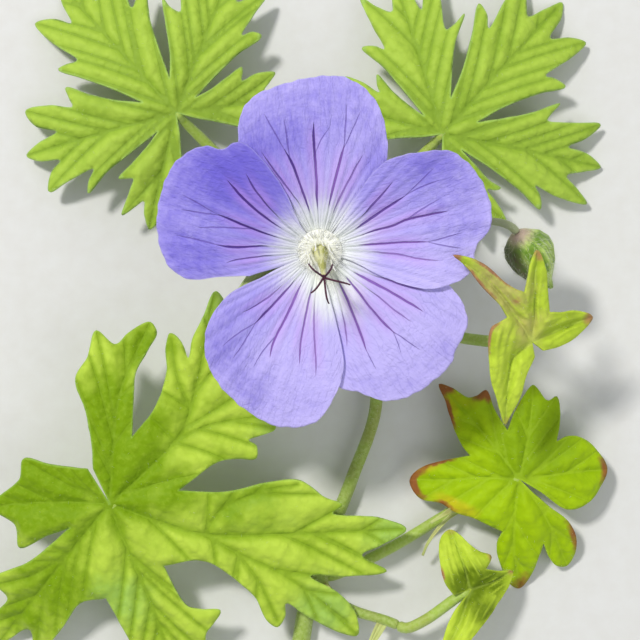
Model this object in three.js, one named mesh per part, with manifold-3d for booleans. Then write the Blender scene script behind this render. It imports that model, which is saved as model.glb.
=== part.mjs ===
// A cut flowering stem of hardy geranium that lies on a surface with its bloom facing up.
// Millimetres and degrees. +Z is up and the stem's cut end points to -Y. The origin is the small flat
// spot under the fork, straight below the bloom.
import * as THREE from 'three';
import { mergeVertices } from 'three/addons/utils/BufferGeometryUtils.js';
import Module from 'manifold-3d';

const wasm = await Module();
wasm.setup();

// Driving dimensions
const bladeThickness = 0.6;
const clearGap = 0.3;
const longestEdge = 7;
const finestStep = 1e-4;

const stemRadius = 1.4;
const branchRadius = 0.85;
const pedicelRadius = 0.6;
const petiole = { radius: 0.8, tipRadius: 0.6 };

const bloom = {
  throatHeight: 24,
  tilt: 12,
  clawRadius: 2.3,
  cupDepth: 4.4,
  cupRadius: 5.5,
  rimRadius: 23,
  rimDrop: 0.6,
  lap: 0.62,
  fullWidth: 9,
};

// Petals by heading round the bloom. A rim runs from the clockwise side to the other side, as turns from
// the heading with the reach at each. Pairs give the clockwise side first, then the other side: half the
// claw's spread, and whether that side lies over or under its neighbour.
const petals = {
  petal_right: {
    heading: 17, claw: [32, 37], over: [1, 1],
    rim: [[-37.3, 10.8], [-36.6, 12.8], [-35, 15], [-31, 17.3], [-24, 19.9], [-13.5, 20.7], [-10, 22.2],
      [-4, 23.1], [5, 23.2], [14, 22.7], [21.5, 21.6], [27.5, 19.2], [37, 15.4], [40, 13], [41, 9.8]],
  },
  petal_top: {
    heading: 93, claw: [37, 34], over: [-1, -1],
    rim: [[-41, 12], [-38, 15.2], [-31, 18.2], [-24.5, 20.7], [-18, 22.3], [-10, 23.2], [1, 22.9], [12, 22.5],
      [20, 22.2], [26, 21], [32.5, 18.3], [37, 15.6], [40, 12]],
  },
  petal_left: {
    heading: 162, claw: [34, 36], over: [1, 0],
    rim: [[-43, 11], [-41, 14.5], [-37, 18], [-29, 18.8], [-25.5, 20.6], [-14.5, 22.3], [1, 22.1], [13, 21.3],
      [22.5, 20], [28, 18.2], [30.2, 16.4], [31, 14.2], [33, 11.8], [36, 9.7]],
  },
  petal_lower_left: {
    heading: 250, claw: [40, 30], over: [0, 1],
    rim: [[-46.9, 10.8], [-46, 12.6], [-43.5, 14.5], [-37, 17.8], [-28, 20.5], [-19, 22.1], [-8, 23.3],
      [4, 24.3], [13, 23.9], [19.5, 22.6], [24, 20.3], [28.5, 17.8], [32, 15.2], [33, 12.5]],
  },
  petal_lower_right: {
    heading: 312, claw: [30, 31], over: [-1, -1],
    rim: [[-41, 14], [-38, 16.8], [-33, 18.5], [-26, 19.6], [-19, 21.7], [-10, 22.8], [6, 23.1], [12.5, 22.3],
      [22, 21.8], [28.5, 20], [34, 17.4], [38.5, 14], [41, 10]],
  },
};
const petalGrid = { along: 8, across: 20 };
const petalSwell = { height: 0.5, turns: 2.6 };

const sepals = { headings: [55, 127.5, 206, 280, 345.5], length: 12.5, width: 5.2, below: 1.85 };
const receptacle = { radius: 1.75, depth: 2.6, top: -0.4 };

const column = { baseRadius: 0.95, neckRadius: 0.48, height: 9.4, lean: [0.68, -2] };
const stigma = {
  radius: 0.24, rise: 1.1, headings: [136, 60, -14, -79, 228], reaches: [2.8, 2.2, 3.5, 3.4, 2.6],
};
const filament = { count: 10, ring: 1.5, radius: 0.17, height: 6.2 };

const bud = { base: [26.6, 2.9, 17.6], axis: [0.52, -0.72, -0.42], length: 11, radius: 3.3, ribs: 5 };

// One half of a regular lobe, from its tip round to the notch beside it: the share of the half lobe's
// angle, then the share of its length.
const cutOutline = [
  [0, 1], [0.13, 0.91], [0.22, 0.79], [0.34, 0.88], [0.5, 0.96], [0.58, 0.8], [0.62, 0.64],
  [0.74, 0.68], [0.9, 0.73], [0.86, 0.55], [0.86, 0.38], [1, 0.22],
];
const regularRib = [0.25, 0.5, 0.75];
const outerHalf = 24;
const ribFalloff = { near: 0.8, power: 3 };

// Leaves: where the stalk meets the blade, how the blade slopes, and how it folds along its ribs. Regular
// lobes have a turn from the leaf's heading, a length and a droop. Uneven lobes are drawn from the palm
// in order of their headings: the rib on the way to the tip, and the rim from the notch before the lobe.
const leaves = {
  leaf_lower_left: {
    palm: [-29.6, -35.4, 11], slope: [-0.02, 0.17], fold: 0.14,
    stalk: [[-3.85, -47.45, 2.5], [-11, -45.5, 3.2], [-21, -40.5, 4.8], [-27.6, -36.5, 8.4]],
    colour: '#8fb53c',
    lobes: [
      {
        rib: [[-6, 0.2], [-12, 0]], tip: [-17, -0.6], droop: 0.3,
        rim: [[-3, 5], [-8, 5.6], [-12, 6.4], [-12.6, 3.6], [-17, -0.6], [-13.4, -3.2], [-13, -6.4],
          [-9, -4.6]],
      },
      {
        rib: [[-5.6, -6.8], [-11.4, -14]], tip: [-17.4, -21.4], droop: 0.42,
        rim: [[-5.6, -3.4], [-11.6, -8.4], [-17.4, -11.4], [-15.4, -14.2], [-19.4, -18.6], [-17.4, -21.4],
          [-12.6, -19], [-11.8, -23], [-7.6, -18.6], [-4.6, -14.6]],
      },
      {
        rib: [[2.6, -7.4], [5.4, -14.4], [8, -23]], tip: [10.2, -31.7], droop: 0.17,
        rim: [[-0.8, -13.6], [0.8, -17], [2.3, -20.2], [4, -26.4], [4.4, -31], [6.6, -29.6], [10.2, -31.7],
          [11, -27.4], [14.4, -25.6], [13.6, -22.6], [13.2, -19.4], [14.4, -17.5], [15.4, -15.6],
          [12.6, -15.4], [10.7, -15], [9.3, -13]],
      },
      {
        rib: [[6.8, -2.6], [13.6, -4.6], [27, -4.6]], tip: [42, -4.2], droop: 0.08,
        rim: [[7.4, -8.9], [13.2, -8.3], [17.5, -11], [20.4, -13.8], [22, -17.2], [23.5, -18.2],
          [24.6, -16.6], [24.7, -14.6], [28, -16.8], [33, -19.4], [35, -19.7], [34.8, -16.6],
          [32.4, -13.4], [28.2, -10.7],
          [33.4, -10.8], [39.2, -10.2], [35.6, -7.8], [38.4, -6.4], [42, -4.2], [38, -2.4], [31.4, -1.6],
          [32.8, -0.4], [30.2, 0.8], [26.8, 3.2], [22.4, 3], [16.4, 1.7]],
      },
      {
        rib: [[5, 4.4], [10.4, 10.4], [13, 19]], tip: [15, 29.9], droop: 0.12,
        rim: [[9.7, 1.9], [12, 3.6], [15, 5.8], [18, 6.4], [20.6, 6.4], [20.7, 8.2], [19.6, 9], [23.4, 10.6],
          [21.4, 13.6], [23.4, 18], [19.6, 19.6], [17.6, 24], [16.8, 27.4], [15, 29.9], [13.3, 26.4],
          [11.8, 23.2], [11.2, 20.5], [10.2, 22.8], [8.6, 24], [8, 22], [8.2, 19], [7.6, 16.2], [6.4, 13.4]],
      },
      {
        rib: [[0.6, 8], [1.6, 16]], tip: [5.6, 25.6], droop: 0.3,
        rim: [[3.3, 9.4], [3.5, 15.3], [3.8, 18.6], [5.4, 21.6], [6.6, 24], [5.6, 25.6], [2.6, 24],
          [0.8, 22.4], [-1.8, 24.4], [-3, 20.6], [-4.6, 17.6], [-3.2, 13], [-2.4, 8.4], [-2.2, 5]],
      },
    ],
  },
  leaf_lower_right: {
    palm: [28.6, -32.4, 6.5], slope: [0, 0.03], fold: 0.12,
    stalk: [[1.9, -46.75, 2.2], [10, -43, 1.6], [20, -37, 2.2], [27, -33.2, 4.8]],
    stipules: [
      { at: [19.5, -37.7, 2.4], tip: [15.9, -39.6, 6], width: 1.5, arch: 1.3 },
      { at: [19.3, -37.9, 2.2], tip: [14.9, -44, 3.4], width: 1.5, arch: 1.7 },
    ],
    colour: '#a9c848',
    lobes: [
      {
        rib: [[5, 0.6], [9, 1]], tip: [13, 1.2], droop: 0.3,
        rim: [[3, -1.8], [7, -4.4], [10.2, -3.4], [12, -1], [13, 1.2], [11.4, 4], [9.2, 5.8], [7.2, 6.2]],
      },
      {
        rib: [[1, 4.6], [1.8, 9]], tip: [2.3, 13.4], droop: 0.3,
        rim: [[5.3, 5.4], [6, 9], [5.6, 11.8], [4.2, 11.2], [2.3, 13.4], [0.6, 11.6], [-0.6, 9.6]],
      },
      {
        rib: [[-3.4, 4.4], [-7.2, 9]], tip: [-11.3, 13.5], droop: 0.24,
        rim: [[-1.7, 7], [-3.4, 9.8], [-4.6, 12.7], [-5.9, 11.9], [-7.2, 11.6], [-9.4, 13], [-11.3, 13.5],
          [-10.4, 11], [-9.8, 8.8], [-8.8, 6], [-7.9, 4.4]],
      },
      {
        rib: [[-5, 0.2], [-10, -0.2]], tip: [-15.5, -0.4], droop: 0.32,
        rim: [[-7, 3.4], [-9.4, 2.9], [-12.6, 2], [-14.6, 0.9], [-15.5, -0.4], [-15, -2], [-13.8, -3.2],
          [-11.2, -3.6], [-9.2, -4.8], [-6.6, -5.6], [-4, -6.8]],
      },
      {
        rib: [[-0.6, -5.4], [-0.4, -11]], tip: [0.7, -16.5], droop: 0.38,
        rim: [[-2.3, -7.6], [-3, -9.2], [-2.9, -11], [-1.8, -14], [-0.5, -16], [0.7, -16.5], [2.2, -14.4],
          [3, -11.8]],
      },
      {
        rib: [[3, -4], [5.4, -8.4]], tip: [7.6, -13], droop: 0.4,
        rim: [[3.7, -9.4], [4.8, -11.8], [6, -13], [7.6, -13], [8.7, -9.6], [7.4, -6.4], [4.4, -4], [2, -2]],
      },
    ],
  },
  leaf_upper_left: {
    palm: [-20.5, 20, 7.5], heading: 132, turns: [-124, -62, 0, 62, 124],
    lengths: [16, 23, 26, 23, 17], droops: [0.26, 0.26, 0.26, 0.26, 0.26],
    slope: [0.03, -0.02], fold: 0.16, seed: 37,
    stalk: [[-2.4, 1.15, 2.1], [-8, 6.5, 2.6], [-15, 14.5, 3.4], [-19.6, 19, 6]],
    colour: '#86ab3a',
  },
  leaf_upper_right: {
    palm: [17.5, 17, 7], heading: 48, turns: [-116, -58, 0, 58, 116],
    lengths: [16, 24, 27, 24, 17], droops: [0.26, 0.28, 0.27, 0.26, 0.26],
    slope: [-0.02, 0.02], fold: 0.16, seed: 41,
    stalk: [[2.05, 1.75, 2.1], [7, 6.5, 2.6], [13, 12.5, 3.4], [16.8, 16.3, 5.6]],
    colour: '#86ab3a',
  },
  leaf_young_right: {
    palm: [28.5, -12.5, 22.2], slope: [-0.44, 0.38], fold: 0.3,
    stalk: [[17.1, -11.45, 10], [21, -12.2, 14.8], [25.4, -12.6, 19.2], [27.9, -12.6, 21.4]],
    colour: '#a4c64a',
    lobes: [
      {
        rib: [[3, 1.4]], tip: [8.6, 3.4], droop: 0.1,
        rim: [[1.6, -1.2], [4.4, -0.4], [6.6, 1], [8.6, 3.4], [6, 4.2], [4, 4]],
      },
      {
        rib: [[0.2, 4.6], [0, 8.4]], tip: [0.2, 12.2], droop: 0,
        rim: [[2.2, 4], [1.8, 7], [1.4, 9.8], [0.2, 12.2], [-0.7, 10.4], [-1, 8.6]],
      },
      {
        rib: [[-2.8, 4], [-6.4, 8]], tip: [-11.3, 11.3], droop: 0,
        rim: [[-1.4, 6.6], [-2.8, 7.1], [-4.4, 8.1], [-5.8, 9.3], [-7.3, 10.3], [-9, 11], [-11.3, 11.3],
          [-10.1, 10.4], [-9, 9.4], [-7.9, 8], [-6.4, 6.5], [-4.8, 5]],
      },
      {
        rib: [[-2.6, -2], [-3.2, -6]], tip: [-3.2, -11.4], droop: 0.12,
        rim: [[-3.6, 3.3], [-4.8, 2.6], [-5.8, 2], [-6.2, 0.2], [-6, -2.2], [-5.6, -5.1], [-4.6, -7.8],
          [-3.9, -9.8], [-3.2, -11.4], [-2.4, -9.8], [-1.4, -7.6], [-0.7, -4.6], [0.4, -2]],
      },
    ],
  },
  leaf_young_lower: {
    palm: [21.5, -48.2, 6.6], slope: [0, -0.08], fold: 0.3,
    stalk: [[12.4, -53.9, 5.3], [15, -52.8, 5.4], [19.4, -49.6, 5.9]],
    colour: '#a4c64a',
    lobes: [
      {
        rib: [[-1.4, -4.6]], tip: [-4.2, -10.4], droop: 0.1,
        rim: [[-1.2, -1.6], [-2.4, -3.2], [-3.6, -6], [-4.2, -10.4], [-1.8, -9.2], [0.4, -6.6], [2.4, -4],
          [3.8, -2]],
      },
      {
        rib: [[3, 0.9]], tip: [6.3, 2.4], droop: 0.4,
        rim: [[4.6, -1], [5.8, 0.8], [6.3, 2.4], [4.2, 2.6]],
      },
      {
        rib: [[-1, 4]], tip: [-2.7, 8.4], droop: 0.2,
        rim: [[2.2, 3], [3, 4.8], [1.4, 5.4], [0, 6.4], [-1.2, 7.6], [-2.7, 8.4], [-4, 7.4], [-4.4, 5.6],
          [-4.2, 3.2], [-3.6, 1], [-2.4, -0.6]],
      },
    ],
  },
};

// Stem, branches and pedicels as routes, each with its radius and how that tapers from point to point.
const routes = [
  {
    points: [[-11, -92, 1.5], [-8, -76, 1.5], [-3.5, -60, 1.6], [-1, -47, 1.8], [4.5, -33, 2.4],
      [8.2, -21, 2.5], [5.2, -8, 2], [0, 0, 1.6]],
    radius: stemRadius, taper: [1.1, 1.05, 1, 0.95, 0.72, 0.66, 0.7, 0.95],
  },
  {
    points: [[0, 0, 1.8], [0.2, 3.4, 4], [0.3, 5.3, 9], [0.2, 4.2, 15], [0, 2.2, 20.2]],
    radius: pedicelRadius, taper: [1.5, 1.15, 1, 1, 1.35],
  },
  {
    points: [[0, 0, 1.8], [6.5, 1, 5.6], [14.5, 3, 11.5], [22, 4.1, 16.4], [25.4, 3.6, 17.9],
      [26.4, 3.1, 17.8]],
    radius: pedicelRadius, taper: [1.5, 1.15, 1, 0.92, 0.92, 1.15],
  },
  {
    points: [[0.6, -0.8, 1.9], [6.4, -7.6, 4.2], [12, -10.6, 6.8], [16.6, -11.4, 9.6]],
    radius: branchRadius, taper: [1.1, 1, 0.95, 1],
  },
  {
    points: [[-1, -47, 2], [3.4, -51, 3.4], [9.6, -53, 4.4], [11.6, -53.7, 5]],
    radius: branchRadius, taper: [1.15, 1, 0.9, 0.9],
  },
];
const swellings = [
  { at: [0, 0, 1.6], size: [2.3, 2.3, 2] },
  { at: [-1, -47, 2.1], size: [2.4, 2.6, 2.2] },
];
const bracts = [
  { at: [-1, -47, 3], tip: [-5, -50.4, 3.4], width: 1.8, arch: 0.8 },
  { at: [-1, -47, 3], tip: [3.4, -51, 4], width: 1.8, arch: 0.8 },
  { at: [0, 0, 3], tip: [-4, -2.8, 5], width: 1.6, arch: 1 },
  { at: [9.2, -53, 4.4], tip: [6.6, -57.4, 4.8], width: 1.5, arch: 0.6 },
];

const colours = {
  petal: '#9b8fec', sepal: '#8aa65c', pistil: '#b9bf6e', stigma: '#4a2238', filament: '#dfe3c0',
  bud: '#7f9a57', stem: '#8fa94f',
};

// Small helpers
const rad = THREE.MathUtils.degToRad;
const ramp = THREE.MathUtils.smoothstep;

function seededRandom(seed) {
  let state = seed;
  return () => {
    state = (state * 16807) % 2147483647;
    return state / 2147483647;
  };
}

function geometryFrom(points, faces) {
  const geometry = new THREE.BufferGeometry();
  const flat = points.flatMap((p) => [p.x, p.y, p.z]);
  geometry.setAttribute('position', new THREE.Float32BufferAttribute(flat, 3));
  geometry.setIndex(faces.flat());
  return geometry;
}

function solidFrom(geometry) {
  const bare = geometry.clone();
  bare.deleteAttribute('normal');
  bare.deleteAttribute('uv');
  const merged = mergeVertices(bare, finestStep);
  return new wasm.Manifold(new wasm.Mesh({
    numProp: 3,
    vertProperties: new Float32Array(merged.attributes.position.array),
    triVerts: new Uint32Array(merged.index.array),
  }));
}

function fuse(geometries) {
  return geometries.map(solidFrom).reduce((joined, next) => joined.add(next));
}

function geometryOf(solid) {
  const mesh = solid.getMesh();
  const geometry = new THREE.BufferGeometry();
  geometry.setAttribute('position', new THREE.Float32BufferAttribute(mesh.vertProperties, 3));
  geometry.setIndex(Array.from(mesh.triVerts));
  return geometry;
}

function pieceOf(name, geometry, colour, roughness = 0.6) {
  geometry.computeVertexNormals();
  const material = new THREE.MeshStandardMaterial({ color: colour, roughness, metalness: 0 });
  const mesh = new THREE.Mesh(geometry, material);
  mesh.name = name;
  return mesh;
}

// A closed skin over rings of points, with a flat fan over each end.
function loft(rings) {
  const sides = rings[0].length;
  const points = rings.flat();
  const faces = [];
  for (let ring = 0; ring < rings.length - 1; ring += 1) {
    for (let side = 0; side < sides; side += 1) {
      const a = ring * sides + side;
      const b = ring * sides + ((side + 1) % sides);
      faces.push([a, b, b + sides], [a, b + sides, a + sides]);
    }
  }
  const last = (rings.length - 1) * sides;
  for (let side = 1; side < sides - 1; side += 1) {
    faces.push([0, side + 1, side], [last, last + side, last + side + 1]);
  }
  return geometryFrom(points, faces);
}

// A tube along a smooth route, with a radius for each point of the route.
function taperedTube(route, radii, sides = 7, steps = 16) {
  const curve = new THREE.CatmullRomCurve3(route.map((p) => new THREE.Vector3(...p)));
  const frames = curve.computeFrenetFrames(steps);
  const rings = [];
  for (let step = 0; step <= steps; step += 1) {
    const share = (step / steps) * (radii.length - 1);
    const before = Math.min(Math.floor(share), radii.length - 2);
    const radius = THREE.MathUtils.lerp(radii[before], radii[before + 1], share - before);
    const centre = curve.getPointAt(step / steps);
    const ring = [];
    for (let side = 0; side < sides; side += 1) {
      const angle = (side / sides) * Math.PI * 2;
      ring.push(centre.clone()
        .addScaledVector(frames.normals[step], Math.cos(angle) * radius)
        .addScaledVector(frames.binormals[step], Math.sin(angle) * radius));
    }
    rings.push(ring);
  }
  return loft(rings);
}

// A blade of even thickness on a surface of triangles. The upper and the lower side are split alike,
// and each lower point lies straight below its upper one along the blade's own up direction.
function thickBlade(middle, faces, up, floor = -Infinity) {
  const normals = middle.map(() => new THREE.Vector3());
  const edgeA = new THREE.Vector3();
  const edgeB = new THREE.Vector3();
  for (const [a, b, c] of faces) {
    edgeA.subVectors(middle[b], middle[a]);
    edgeB.subVectors(middle[c], middle[a]);
    const normal = edgeA.clone().cross(edgeB);
    [a, b, c].forEach((corner) => normals[corner].add(normal));
  }
  const upper = [];
  const lower = [];
  middle.forEach((point, index) => {
    const steepness = Math.max(normals[index].normalize().dot(up), 0.55);
    const half = bladeThickness / 2 / steepness;
    const low = point.clone().addScaledVector(up, -half);
    const lift = Math.max(floor - low.z, 0);
    low.z += lift;
    lower.push(low);
    upper.push(low.clone().addScaledVector(up, 2 * half));
  });
  const count = middle.length;
  const solidFaces = [];
  const edgeUse = new Map();
  for (const [a, b, c] of faces) {
    solidFaces.push([a, b, c], [a + count, c + count, b + count]);
    [[a, b], [b, c], [c, a]].forEach(([from, to]) => edgeUse.set(`${from}_${to}`, [from, to]));
  }
  for (const [from, to] of edgeUse.values()) {
    if (!edgeUse.has(`${to}_${from}`)) {
      solidFaces.push([from, from + count, to + count], [from, to + count, to]);
    }
  }
  return geometryFrom([...upper, ...lower], solidFaces);
}

// The bloom's own frame: x to the right, y up its face, height along the way it faces.
const faceTilt = rad(bloom.tilt);
const bloomAxis = new THREE.Vector3(0, -Math.sin(faceTilt), Math.cos(faceTilt));

function onBloom(x, y, height) {
  return new THREE.Vector3(
    x,
    y * Math.cos(faceTilt) - height * Math.sin(faceTilt),
    bloom.throatHeight + y * Math.sin(faceTilt) + height * Math.cos(faceTilt),
  );
}

function saucerHeight(radius) {
  const cup = bloom.cupDepth * (1 - Math.exp(-radius / bloom.cupRadius));
  return cup - bloom.rimDrop * (radius / bloom.rimRadius) ** 4;
}

// The petal's rim as even steps of turn and reach.
function petalRim(petal) {
  const curve = new THREE.CatmullRomCurve3(petal.rim.map(([turn, reach]) => (
    new THREE.Vector3(reach * Math.cos(rad(turn)), reach * Math.sin(rad(turn)), 0))));
  return curve.getSpacedPoints(petalGrid.across)
    .map((point) => [THREE.MathUtils.radToDeg(Math.atan2(point.y, point.x)), point.length()]);
}

function petalPoint(petal, [rimTurn, reach], along) {
  const side = rimTurn < 0 ? 0 : 1;
  const widest = Math.abs(petal.rim.at(side ? -1 : 0)[0]);
  const across = rimTurn / widest;
  const radius = THREE.MathUtils.lerp(bloom.clawRadius, reach, along);
  const widening = ramp(radius, bloom.clawRadius, bloom.fullWidth);
  const turn = across * THREE.MathUtils.lerp(petal.claw[side], widest, widening);
  const angle = rad(petal.heading + turn);
  const lap = bloom.lap * petal.over[side] * ramp(Math.abs(across), 0.35, 0.82) * ramp(radius, 0, 3);
  const swell = petalSwell.height * Math.sin(across * petalSwell.turns + petal.heading) * along ** 2;
  const height = saucerHeight(radius) + lap + swell * (1 - across ** 2);
  return onBloom(radius * Math.cos(angle), radius * Math.sin(angle), height);
}

function gridFaces(rows, columns) {
  const faces = [];
  for (let row = 0; row < rows; row += 1) {
    for (let column = 0; column < columns; column += 1) {
      const a = row * (columns + 1) + column;
      const b = a + columns + 1;
      faces.push([a, b, b + 1], [a, b + 1, a + 1]);
    }
  }
  return faces;
}

function makePetal(petal) {
  const rim = petalRim(petal);
  const middle = [];
  for (let row = 0; row <= petalGrid.along; row += 1) {
    rim.forEach((rimPoint) => middle.push(petalPoint(petal, rimPoint, row / petalGrid.along)));
  }
  return thickBlade(middle, gridFaces(petalGrid.along, petalGrid.across), bloomAxis);
}

// Sepals: pointed ovals under the gaps between the petals, each ending in a short bristle.
function makeSepal(heading) {
  const rows = 7;
  const columns = 4;
  const middle = [];
  for (let row = 0; row <= rows; row += 1) {
    const share = row / rows;
    const radius = THREE.MathUtils.lerp(0.9, sepals.length, share);
    const oval = Math.sin(Math.PI * Math.min(0.24 + share * 0.7, 1)) ** 0.8;
    const half = Math.max((sepals.width / 2) * oval * (1 - share ** 6), 0.35);
    for (let column = 0; column <= columns; column += 1) {
      const aside = ((column / columns) * 2 - 1) * half;
      const turn = new THREE.Vector2(radius, aside).rotateAround(new THREE.Vector2(), rad(heading));
      const keel = (aside / half) ** 2 * share * (1 - share);
      middle.push(onBloom(turn.x, turn.y, saucerHeight(radius) - sepals.below + keel - 0.5 * share));
    }
  }
  return thickBlade(middle, gridFaces(rows, columns), bloomAxis);
}

function bloomRing(radius, height, sides, [leanX, leanY] = [0, 0]) {
  return Array.from({ length: sides }, (_, side) => {
    const angle = (side / sides) * Math.PI * 2;
    return onBloom(radius * Math.cos(angle) + leanX, radius * Math.sin(angle) + leanY, height);
  });
}

function makeCalyx() {
  const { radius, depth, top } = receptacle;
  const cup = loft([
    bloomRing(radius * 0.45, top - depth, 12),
    bloomRing(radius * 0.95, top - depth * 0.62, 12),
    bloomRing(radius, top, 12),
  ]);
  return geometryOf(fuse([cup, ...sepals.headings.map(makeSepal)]));
}

// The column leans to the lower side of the face as it rises.
function columnLean(height) {
  const share = (Math.max(height, 0) / column.height) ** 1.6;
  return column.lean.map((most) => most * share);
}

function makePistil() {
  const base = receptacle.top + clearGap;
  const stages = [
    [column.baseRadius * 0.75, base], [column.baseRadius, base + 0.8], [column.baseRadius * 0.92, base + 1.7],
    [column.neckRadius * 1.45, base + 3], [column.neckRadius * 1.15, column.height * 0.6],
    [column.neckRadius, column.height * 0.82], [column.neckRadius * 1.05, column.height],
  ];
  return loft(stages.map(([radius, height]) => bloomRing(radius, height, 10, columnLean(height))));
}

function makeStigmas() {
  const root = column.height + clearGap;
  const middle = columnLean(root);
  const hub = loft([
    bloomRing(0.42, root, 8, middle),
    bloomRing(0.5, root + 0.35, 8, middle),
    bloomRing(0.2, root + 0.7, 8, middle),
  ]);
  const arms = stigma.headings.map((heading, index) => {
    const place = (share) => {
      const out = stigma.reaches[index] * share;
      const lift = stigma.rise * Math.sin(share * Math.PI * 0.75);
      const x = middle[0] + out * Math.cos(rad(heading));
      const y = middle[1] + out * Math.sin(rad(heading));
      return onBloom(x, y, root + 0.32 + lift).toArray();
    };
    const radii = [stigma.radius * 1.15, stigma.radius, stigma.radius, stigma.radius * 0.75];
    return taperedTube([0.05, 0.4, 0.72, 1].map(place), radii, 5, 6);
  });
  return geometryOf(fuse([hub, ...arms]));
}

function makeFilaments() {
  const foot = receptacle.top + clearGap;
  const ringRadius = filament.ring;
  const outer = (height) => bloomRing(ringRadius + 0.2, height, 15);
  const inner = (height) => bloomRing(ringRadius - 0.2, height, 15);
  const ring = solidFrom(loft([outer(foot), outer(foot + 0.5)]))
    .subtract(solidFrom(loft([inner(foot - 1), inner(foot + 1.5)])));
  const stalks = Array.from({ length: filament.count }, (_, index) => {
    const heading = rad((index / filament.count) * 360 + 9);
    const tall = filament.height * (index % 2 ? 1 : 0.8);
    const place = ([share, out]) => {
      const height = foot + 0.2 + share * tall;
      const [leanX, leanY] = columnLean(height);
      return onBloom(out * Math.cos(heading) + leanX, out * Math.sin(heading) + leanY, height).toArray();
    };
    const bow = [[0, ringRadius], [0.35, ringRadius + 0.04], [0.7, ringRadius + 0.06], [1, ringRadius + 0.5]];
    const radii = [filament.radius * 1.5, filament.radius * 1.3, filament.radius, filament.radius * 0.8];
    return taperedTube(bow.map(place), radii, 4, 5);
  });
  return geometryOf(stalks.map(solidFrom).reduce((joined, next) => joined.add(next), ring));
}

// The bud: folded sepals show as ribs that run to a beak of bristles.
function makeBud() {
  const axis = new THREE.Vector3(...bud.axis).normalize();
  const side = new THREE.Vector3(0, 0, 1).cross(axis).normalize();
  const front = axis.clone().cross(side);
  const stages = [[0.07, 0.3], [0.12, 0.52], [0.22, 0.84], [0.36, 1], [0.5, 0.97], [0.64, 0.78], [0.76, 0.5],
    [0.86, 0.24], [1, 0.1]];
  const sides = bud.ribs * 4;
  const rings = stages.map(([share, width]) => Array.from({ length: sides }, (_, index) => {
    const angle = (index / sides) * Math.PI * 2;
    const rib = 1 + 0.07 * Math.cos(angle * bud.ribs) * Math.sin(share * Math.PI);
    const radius = bud.radius * width * rib;
    return new THREE.Vector3(...bud.base)
      .addScaledVector(axis, share * bud.length)
      .addScaledVector(side, Math.cos(angle) * radius)
      .addScaledVector(front, Math.sin(angle) * radius);
  }));
  return loft(rings);
}

// Regular lobes round the palm, as ribs with the rims to their right and left, from tip to notch.
function regularLobes(leaf) {
  const draw = seededRandom(leaf.seed);
  const jitter = (amount) => (draw() - 0.5) * 2 * amount;
  const centre = new THREE.Vector2();
  const polar = (radius, degrees) => new THREE.Vector2(radius, 0).rotateAround(centre, rad(degrees));
  const notchShare = cutOutline.at(-1)[1];
  const notches = leaf.turns.slice(0, -1).map((turn, index) => {
    const length = Math.min(leaf.lengths[index], leaf.lengths[index + 1]) * notchShare;
    return polar(length, leaf.heading + (turn + leaf.turns[index + 1]) / 2);
  });
  return leaf.turns.map((turn, index) => {
    const length = leaf.lengths[index];
    const [right, left] = [-1, 1].map((side) => {
      const beside = leaf.turns[index + side];
      const half = beside === undefined ? outerHalf : Math.abs(beside - turn) / 2;
      const rim = cutOutline.slice(1, -1).map(([angleShare, lengthShare]) => polar(
        length * (lengthShare + jitter(0.025)),
        leaf.heading + turn + side * half * (angleShare + jitter(0.03)),
      ));
      const outer = polar(length * notchShare * 0.8, leaf.heading + turn + side * half);
      return [...rim, beside === undefined ? outer : notches[side > 0 ? index : index - 1]];
    });
    const tip = polar(length, leaf.heading + turn);
    const rib = [0, ...regularRib, 1].map((share) => tip.clone().multiplyScalar(share));
    return { rib, right, left, droop: leaf.droops[index] };
  });
}

// Lobes as drawn. Each lobe ends at the notch where the next one starts.
function drawnLobes(leaf) {
  const flat = ([x, y]) => new THREE.Vector2(x, y);
  return leaf.lobes.map((lobe, index) => {
    const [tipX, tipY] = lobe.tip;
    const at = lobe.rim.findIndex(([x, y]) => x === tipX && y === tipY);
    const after = leaf.lobes[index + 1];
    const left = [...lobe.rim.slice(at + 1), ...(after ? [after.rim[0]] : [])].map(flat);
    const right = lobe.rim.slice(0, at).reverse().map(flat);
    return { rib: [[0, 0], ...lobe.rib, lobe.tip].map(flat), right, left, droop: lobe.droop };
  });
}

// One triangle mesh of all the half lobes, with shared points, split until no edge is long.
function meshPlan(lobes) {
  const points = [];
  const lookup = new Map();
  const indexOf = (point) => {
    const key = `${point.x.toFixed(3)}_${point.y.toFixed(3)}`;
    if (!lookup.has(key)) {
      lookup.set(key, points.length);
      points.push(point);
    }
    return lookup.get(key);
  };
  let faces = [];
  for (const half of lobes.flatMap(({ rib, right, left }) => [[...rib, ...right], [...rib, ...left]])) {
    const loop = THREE.ShapeUtils.isClockWise(half) ? half.slice().reverse() : half;
    for (const corners of THREE.ShapeUtils.triangulateShape(loop, [])) {
      faces.push(corners.map((corner) => indexOf(loop[corner])));
    }
  }
  const isLong = (a, b) => points[a].distanceTo(points[b]) > longestEdge;
  while (faces.some(([a, b, c]) => isLong(a, b) || isLong(b, c) || isLong(c, a))) {
    const split = [];
    for (const [a, b, c] of faces) {
      const turns = [[a, b, c], [b, c, a], [c, a, b]];
      const lengthOf = ([from, to]) => points[from].distanceTo(points[to]);
      const [first, second, third] = turns.reduce((best, next) => (
        lengthOf(next) > lengthOf(best) ? next : best
      ));
      split.push({ first, second, third });
    }
    faces = splitLongest(points, split, isLong, indexOf);
  }
  return { points, faces };
}

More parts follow.
